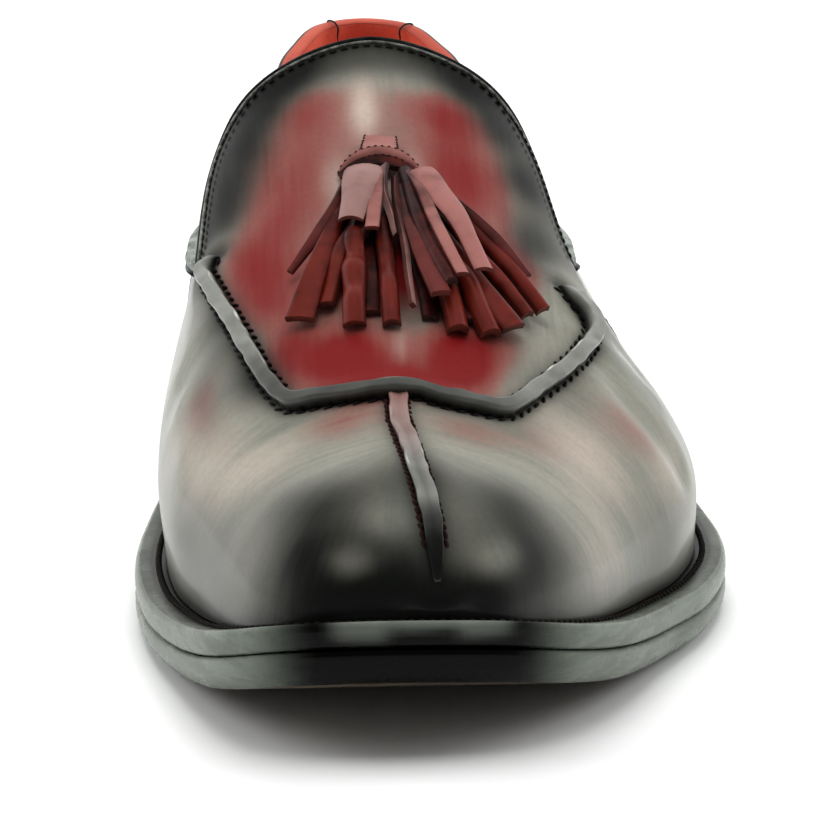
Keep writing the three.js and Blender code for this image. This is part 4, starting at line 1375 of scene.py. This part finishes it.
def ribbon(spots, widths, thickness, bow, rollBy, wave, tone, steps=34):
    path, lean, share, width = vampPath(spots, widths, steps)
    side, up = pathFrames(path, lean)
    angle = rollBy[0] + (rollBy[1] - rollBy[0]) * share + wave * 0.25 * np.sin(share * 9 + spots[0][0])
    turned = side * np.cos(angle)[:, None] + up * np.sin(angle)[:, None]
    raised = up * np.cos(angle)[:, None] - side * np.sin(angle)[:, None]
    path = path + raised * (wave * np.sin(share * 13 + spots[0][0] * 2) * smooth(share, 0.1, 0.5))[:, None]
    arc = bow * stripMarks ** 2
    spread = path[:, None] + turned[:, None] * (width[:, None] * stripMarks)[..., None]
    top = spread - raised[:, None] * (stripChamfer + arc)[:, None]
    under = spread - raised[:, None] * (thickness + arc - stripChamfer)[:, None]
    points = np.concatenate([top, under[:, ::-1]], 1).reshape(-1, 3)
    final, count = len(stripMarks) - 1, 2 * len(stripMarks)
    faces, slots = [], []
    for i in range(steps - 1):
        for k in range(count):
            a, b = i * count + k, i * count + (k + 1) % count
            faces.append([a, b, b + count, a + count])
            slots.append("top" if k < final else "cut" if k in (final, count - 1) else "under")
    for start in (0, (steps - 1) * count):
        for k in range(final):
            quad = [start + k, start + k + 1, start + count - 2 - k, start + count - 1 - k]
            faces.append(quad if start else quad[::-1])
            slots.append("cut")
    # light: painted shade, low at the root and along the edges, and lower on the underside
    light = tone[0] + (tone[1] - tone[0]) * smooth(share, 0.05, 0.85)
    edge = np.concatenate([0.25 * np.abs(stripMarks) ** 6, 0.45 + 0 * stripMarks])
    return points, outward(points, faces), slots, np.clip(light[:, None] - edge[None], 0, 1).ravel()


# each strip: x, y and lift over the vamp; widths, thickness, bow, roll, wave, kind of leather, tone (painted shade
# at the root rising to painted light at the tip)
tassels = {
    "tasselLeft": [
        ([(-10.8, -31.6, 1.6), (-11.2, -33.6, 4.4), (-12.0, -39, 6.6), (-12.9, -46, 7.2), (-14.4, -54.2, 7.2)],
         (6.8, 7.6, 7.2, 5.6, 4.8), 0.8, 0.9, (0.0, 0.0), 0.0, "grain", (0.85, 1.0)),
        ([(-9.6, -40, 6.0), (-10.2, -47, 6.6), (-11.0, -56.9, 6.2)], (2.4, 2.7, 2.7), 0.9, 0.15, (0.1, 0.0), 0.1,
         "rose", (0.5, 0.9)),
        ([(-8.6, -35, 4.8), (-8.9, -43.7, 5.2), (-7.2, -57.2, 4.4)], (2.2, 1.7, 1.0), 0.9, 0.0, (0.8, 1.0), 0.2,
         "grain", (0.3, 0.9)),
        ([(-13.6, -36, 3.6), (-16.1, -45.7, 5), (-20, -53.6, 4.8), (-25.9, -59.5, 2.6)],
         (2.6, 2.4, 2.4, 1.2), 1.2, 0.2, (-0.8, -0.5), 0.1, "dusk", (0.2, 0.9)),
        ([(-13.4, -36, 3.4), (-16.5, -50, 4.8), (-20.2, -62, 4.8), (-24.6, -74.3, 2.9)],
         (2.6, 3.0, 3.8, 5.6), 1.4, 0.3, (-0.45, -0.15), 0.15, "flesh", (0.1, 0.85)),
        ([(-12.6, -38, 2.8), (-14.9, -51.4, 3.7), (-17.6, -62, 4.2), (-20.2, -71.9, 2.4)],
         (2.2, 2.6, 3.0, 3.2), 1.4, 0.5, (-0.15, 0.15), 0.2, "flesh", (0.1, 0.8)),
        ([(-11.4, -38, 3.2), (-13.4, -52, 4.6), (-14.3, -57, 5.8), (-14.3, -61.5, 4.4), (-14.6, -66, 5.6),
          (-14.8, -70.5, 4.2), (-15.0, -74.6, 4.6), (-15.4, -79.4, 2.4)],
         (2.6, 3.6, 4.3, 3.8, 4.5, 3.9, 4.2), 1.6, 1.2, (0.0, 0.0), 0.0, "flesh", (0.1, 1.0)),
        ([(-9.6, -38, 3.0), (-9.2, -56.9, 4.0), (-8.9, -64, 3.4), (-8.9, -71, 4.4), (-8.9, -80.2, 2.3)],
         (2.2, 2.8, 3.2, 3.2, 3.4), 1.5, 0.9, (0.0, 0.1), 0.0, "flesh", (0.05, 0.8)),
        ([(-10.6, -42, 1.9), (-12.0, -58, 2.2), (-11.8, -76, 1.7)],
         (2.8, 3.0, 2.8), 1.2, 0.3, (0.1, -0.1), 0.2, "flesh", (0.0, 0.35)),
        ([(-12.8, -42, 2.2), (-17.8, -57, 2.6), (-22.2, -69.5, 1.7)],
         (2.4, 2.8, 3.0), 1.2, 0.3, (-0.2, 0.0), 0.2, "flesh", (0.0, 0.4)),
        ([(-13.2, -39, 2.6), (-18.4, -53.6, 4.2), (-23.6, -65.5, 2.6)],
         (1.8, 2.0, 2.4), 1.2, 0.3, (-0.6, -0.3), 0.1, "grain", (0.2, 0.75)),
    ],
    "tasselRight": [
        ([(-3.6, -34.0, 2.6), (-2.0, -37.2, 6.2), (0.0, -45, 7.6), (2.9, -54.6, 8.6), (6.6, -68.8, 8.2)],
         (4.8, 5.2, 4.8, 3.6, 3.7), 0.9, 0.5, (0.15, 0.05), 0.05, "rose", (0.75, 1.05)),
        ([(-3.8, -36, 4.8), (-2.6, -44.4, 6.9), (-0.4, -58.7, 8.1), (3.0, -71.0, 7.7)],
         (2.2, 2.4, 2.4, 2.5), 1.0, 0.2, (0.05, 0.0), 0.1, "rose", (0.2, 1.0)),
        ([(-5.2, -34, 4.0), (-4.5, -44.4, 5.8), (-2.6, -60.1, 7.2), (1.0, -72.3, 6.8)],
         (2.6, 3.0, 2.8, 2.6), 1.6, 0.9, (0.5, 0.3), 0.25, "dusk", (0.1, 0.45)),
        ([(-5.6, -40, 4.0), (-4.8, -52.4, 5.4), (-3.2, -64.1, 6.2), (-0.6, -75.3, 5.8)],
         (2.2, 3.0, 3.4, 3.7), 1.2, 0.3, (0.3, 0.1), 0.1, "dusk", (0.3, 1.0)),
        ([(-5.9, -38, 3.8), (-6.3, -47.3, 5), (-5.4, -63.6, 5), (-5.0, -77.6, 3.8)],
         (1.9, 1.5, 1.5, 1.2), 1.0, 0.0, (-0.8, -0.9), 0.1, "grain", (0.1, 0.8)),
        ([(-1.4, -37, 3.8), (3.0, -45.4, 5.6), (9.4, -54.6, 6.4), (15.2, -62.6, 5.0)],
         (2.2, 1.9, 1.9, 2.0), 1.1, 0.2, (0.9, 0.6), 0.15, "dusk", (0.1, 0.8)),
        ([(-1.4, -38, 3.2), (2.8, -47.3, 4.8), (10.6, -59.2, 5.8), (18.6, -68.6, 3.6)],
         (2.2, 2.2, 2.6, 2.8), 1.5, 0.6, (0.6, 0.3), 0.2, "flesh", (0.05, 0.95)),
        ([(-1.6, -40, 3.0), (1.6, -50.9, 4.2), (8.6, -62, 4.9), (15.6, -71.2, 3.4)],
         (2.4, 2.6, 2.6, 2.7), 1.5, 0.8, (0.3, 0.2), 0.2, "flesh", (0.05, 0.85)),
        ([(-2.2, -40, 2.8), (0.3, -52.9, 4.2), (5.9, -66.4, 4.8), (12.6, -76.6, 3.1)],
         (2.6, 3.0, 3.6, 4.8), 1.4, 0.4, (0.35, 0.15), 0.15, "flesh", (0.05, 0.85)),
        ([(-3.6, -40, 2.8), (-2.4, -54.6, 4.0), (0.7, -66, 5.0), (1.9, -72.5, 4.2), (3.0, -80.0, 2.9)],
         (2.6, 3.2, 3.8, 3.7, 3.9), 1.7, 1.3, (0.0, 0.0), 0.0, "flesh", (0.05, 0.95)),
        ([(-2.7, -40, 3.0), (0.9, -56.2, 4.0), (4.6, -67, 5.2), (6.4, -73, 4.4), (8.8, -79.0, 2.9)],
         (2.6, 3.4, 4.0, 3.9, 4.1), 1.7, 1.4, (0.15, 0.1), 0.0, "flesh", (0.05, 1.0)),
        ([(-4.6, -42, 1.9), (-3.0, -58, 2.3), (-1.8, -77, 1.7)],
         (2.6, 3.2, 3.0), 1.3, 0.3, (0.0, 0.1), 0.2, "flesh", (0.0, 0.3)),
        ([(-2.0, -43, 2.1), (4.4, -60, 2.3), (9.6, -74, 1.7)],
         (2.6, 3.4, 3.4), 1.3, 0.3, (0.1, 0.1), 0.2, "flesh", (0.0, 0.3)),
        ([(-3.4, -43, 2.1), (1.4, -60, 2.6), (5.8, -76, 1.9)],
         (2.6, 3.4, 3.4), 1.3, 0.3, (0.1, 0.1), 0.2, "flesh", (0.0, 0.35)),
    ],
}
stripIndex = {kind: k for k, kind in enumerate(stripLooks)}


def joinStrips(name, parts, slot, *nodes):
    points, faces, slots, lights, offset = [], [], [], [], 0
    for partPoints, partFaces, partSlots, light, kind in parts:
        points.append(partPoints)
        faces += [[v + offset for v in ring] for ring in partFaces]
        kinds = {"top": kind, "cut": "cut", "under": "dusk" if kind == "dusk" else "flesh"}
        slots += [stripIndex[kinds[part]] for part in partSlots]
        lights.append(light)
        offset += len(partPoints)
    piece = makePiece(name, np.vstack(points), faces, stripLooks.values(), slots, 40)
    setFloat(piece, "light", np.concatenate(lights))
    return settle(piece, slot, *nodes)


for name, strips in tassels.items():
    parts = [(*ribbon(*shape, tone), kind) for *shape, kind, tone in strips]
    joinStrips(name, parts, "tassel_leather", "tassel_left" if name == "tasselLeft" else "tassel_right")

# tie: an arched band over the tassels, a flesh strip under it kept dark as painted shade, and a tab behind it
tieShape = {
    "arch": [(-16.2, -30.8, 1.2), (-15.0, -30.0, 2.2), (-12.6, -29.1, 3.4), (-9.0, -28.7, 4.0),
             (-5.4, -29.1, 3.6), (-2.6, -30.0, 2.4), (-1.4, -30.8, 1.3)],
    "under": [(-16.5, -31.8, 1.0), (-15.1, -31.5, 1.8), (-12.5, -31.1, 2.8), (-9.0, -30.9, 3.3),
              (-5.6, -31.1, 2.9), (-2.8, -31.5, 1.9), (-1.1, -31.8, 1.1)],
    "tab": [(-8.2, -21.2, 1.6), (-8.5, -24.6, 2.4), (-8.8, -28.0, 3.6)],
    "archWidths": (1.2, 1.9, 2.3, 2.3, 2.3, 1.9, 1.2), "underWidths": (1.6, 2.5, 2.9, 2.8, 2.9, 2.5, 1.6),
    "tabWidths": (6.4, 7.0, 7.4),
}
joinStrips("tasselTie", [
    (*ribbon(tieShape[part], tieShape[part + "Widths"], 1.3, bow, (turnBy, turnBy), 0.0, tone, 44), kind)
    for part, bow, turnBy, kind, tone in (
        ("arch", 0.3, 0.35, "rose", (0.6, 0.8)), ("under", 0.0, 0.1, "flesh", (0.2, 0.45)),
        ("tab", 0.2, 0.0, "rose", (0.85, 0.95)))], "tassel_leather", "tassel_tie")


def ribbonEdge(spots, widths, side, lean):
    path, normals, _, width = vampPath(spots, widths, 60)
    offset = side * (width - 0.15)[:, None]
    return besideLine(path, normals, offset, offset * lean - 0.3)


pinked = [ribbonEdge(tieShape[part], tieShape[part + "Widths"], side, lean)
          for part, lean in (("arch", 0.35), ("tab", 0.0)) for side in (1, -1)]
stitchRow("tiePinking", pinked, stripLooks["cut"], "tassel_leather", "pinking")
print("tassels")

# ---- floor, light and camera

studio = {
    "floorTone": (0.955, 0.958, 0.955),
    "sky": {"back": 0.75, "front": 0.08, "top": 0.2},
    # where, size, power
    "lamps": [((-1.3, 0.2, 0.9), 0.9, 10.0), ((1.3, 0.2, 0.9), 0.9, 10.0),
              ((0.0, 0.0, 1.9), 1.5, 27.0), ((0.0, 1.7, 1.3), 1.6, 26.0)],
}
floorMesh = bpy.data.meshes.new("floor")
floorCorners = [(-5, -3), (5, -3), (5, 7), (-5, 7)]
floorMesh.from_pydata([(x, y, -0.0002) for x, y in floorCorners], [], [(0, 1, 2, 3)])
floor = bpy.data.objects.new("floor", floorMesh)
bpy.context.scene.collection.objects.link(floor)
floorLook = Look("paleFloor")
floorMesh.materials.append(floorLook.finish(Base_Color=studio["floorTone"], Roughness=0.7))

for k, (where, size, power) in enumerate(studio["lamps"]):
    lamp = bpy.data.lights.new("softbox%d" % k, "AREA")
    lamp.energy, lamp.size, lamp.shape = power, size, "SQUARE"
    holder = bpy.data.objects.new("softbox%d" % k, lamp)
    holder.location = where
    holder.rotation_euler = Vector(where).to_track_quat("Z", "Y").to_euler()
    holder.visible_glossy = False
    bpy.context.scene.collection.objects.link(holder)

# a white tent: bright behind and to the sides, dim overhead and where the camera stands
world = bpy.data.worlds.new("tent")
bpy.context.scene.world = world
world.use_nodes = True
world.node_tree.nodes.clear()
sky = Look("tent", world.node_tree)
aim = sky.node("ShaderNodeTexCoord", output="Generated")
split = sky.tree.nodes.new("ShaderNodeSeparateXYZ")
sky.tree.links.new(aim.socket, split.inputs[0])
back, lift = Wire(sky, split.outputs[1]), Wire(sky, split.outputs[2])
tone = {key: (value, value, value, 1) for key, value in studio["sky"].items()}
shade = sky.mix(sky.ramp(back, -0.75, -0.1), tone["front"], tone["back"])
shade = sky.mix(sky.ramp(lift, 0.35, 0.75), shade, tone["top"])
glow = sky.node("ShaderNodeBackground", None, {"Color": shade, "Strength": 1.0})
worldOut = sky.tree.nodes.new("ShaderNodeOutputWorld")
sky.tree.links.new(glow.socket, worldOut.inputs[0])
bpy.context.scene.view_settings.view_transform = "Standard"

# the photo's camera: place in mm, angles in degrees, focal length and frame in pixels
view = {"place": (-34.8, -652.2, 169.9), "pitch": 12.5, "yaw": -2.95, "roll": -0.24,
        "focal": 3253.0, "frame": 823.0}
yaw, pitch, rollBy = (math.radians(view[key]) for key in ("yaw", "pitch", "roll"))
right = Vector((math.cos(yaw), math.sin(yaw), 0))
level = Vector((-math.sin(yaw), math.cos(yaw), 0))
ahead = level * math.cos(pitch) - Vector((0, 0, 1)) * math.sin(pitch)
above = level * math.sin(pitch) + Vector((0, 0, 1)) * math.cos(pitch)
leanRight = right * math.cos(rollBy) + above * math.sin(rollBy)
leanUp = above * math.cos(rollBy) - right * math.sin(rollBy)
lens = bpy.data.cameras.new("camera")
lens.sensor_width = 36.0
lens.lens = view["focal"] / view["frame"] * lens.sensor_width
lens.clip_start, lens.clip_end = 0.02, 30.0
camera = bpy.data.objects.new("camera", lens)
turned = Matrix((leanRight, leanUp, -ahead)).transposed().to_4x4()
camera.matrix_world = Matrix.Translation(Vector(view["place"]) * mm) @ turned
bpy.context.scene.collection.objects.link(camera)
bpy.context.scene.camera = camera

print("scene ready")
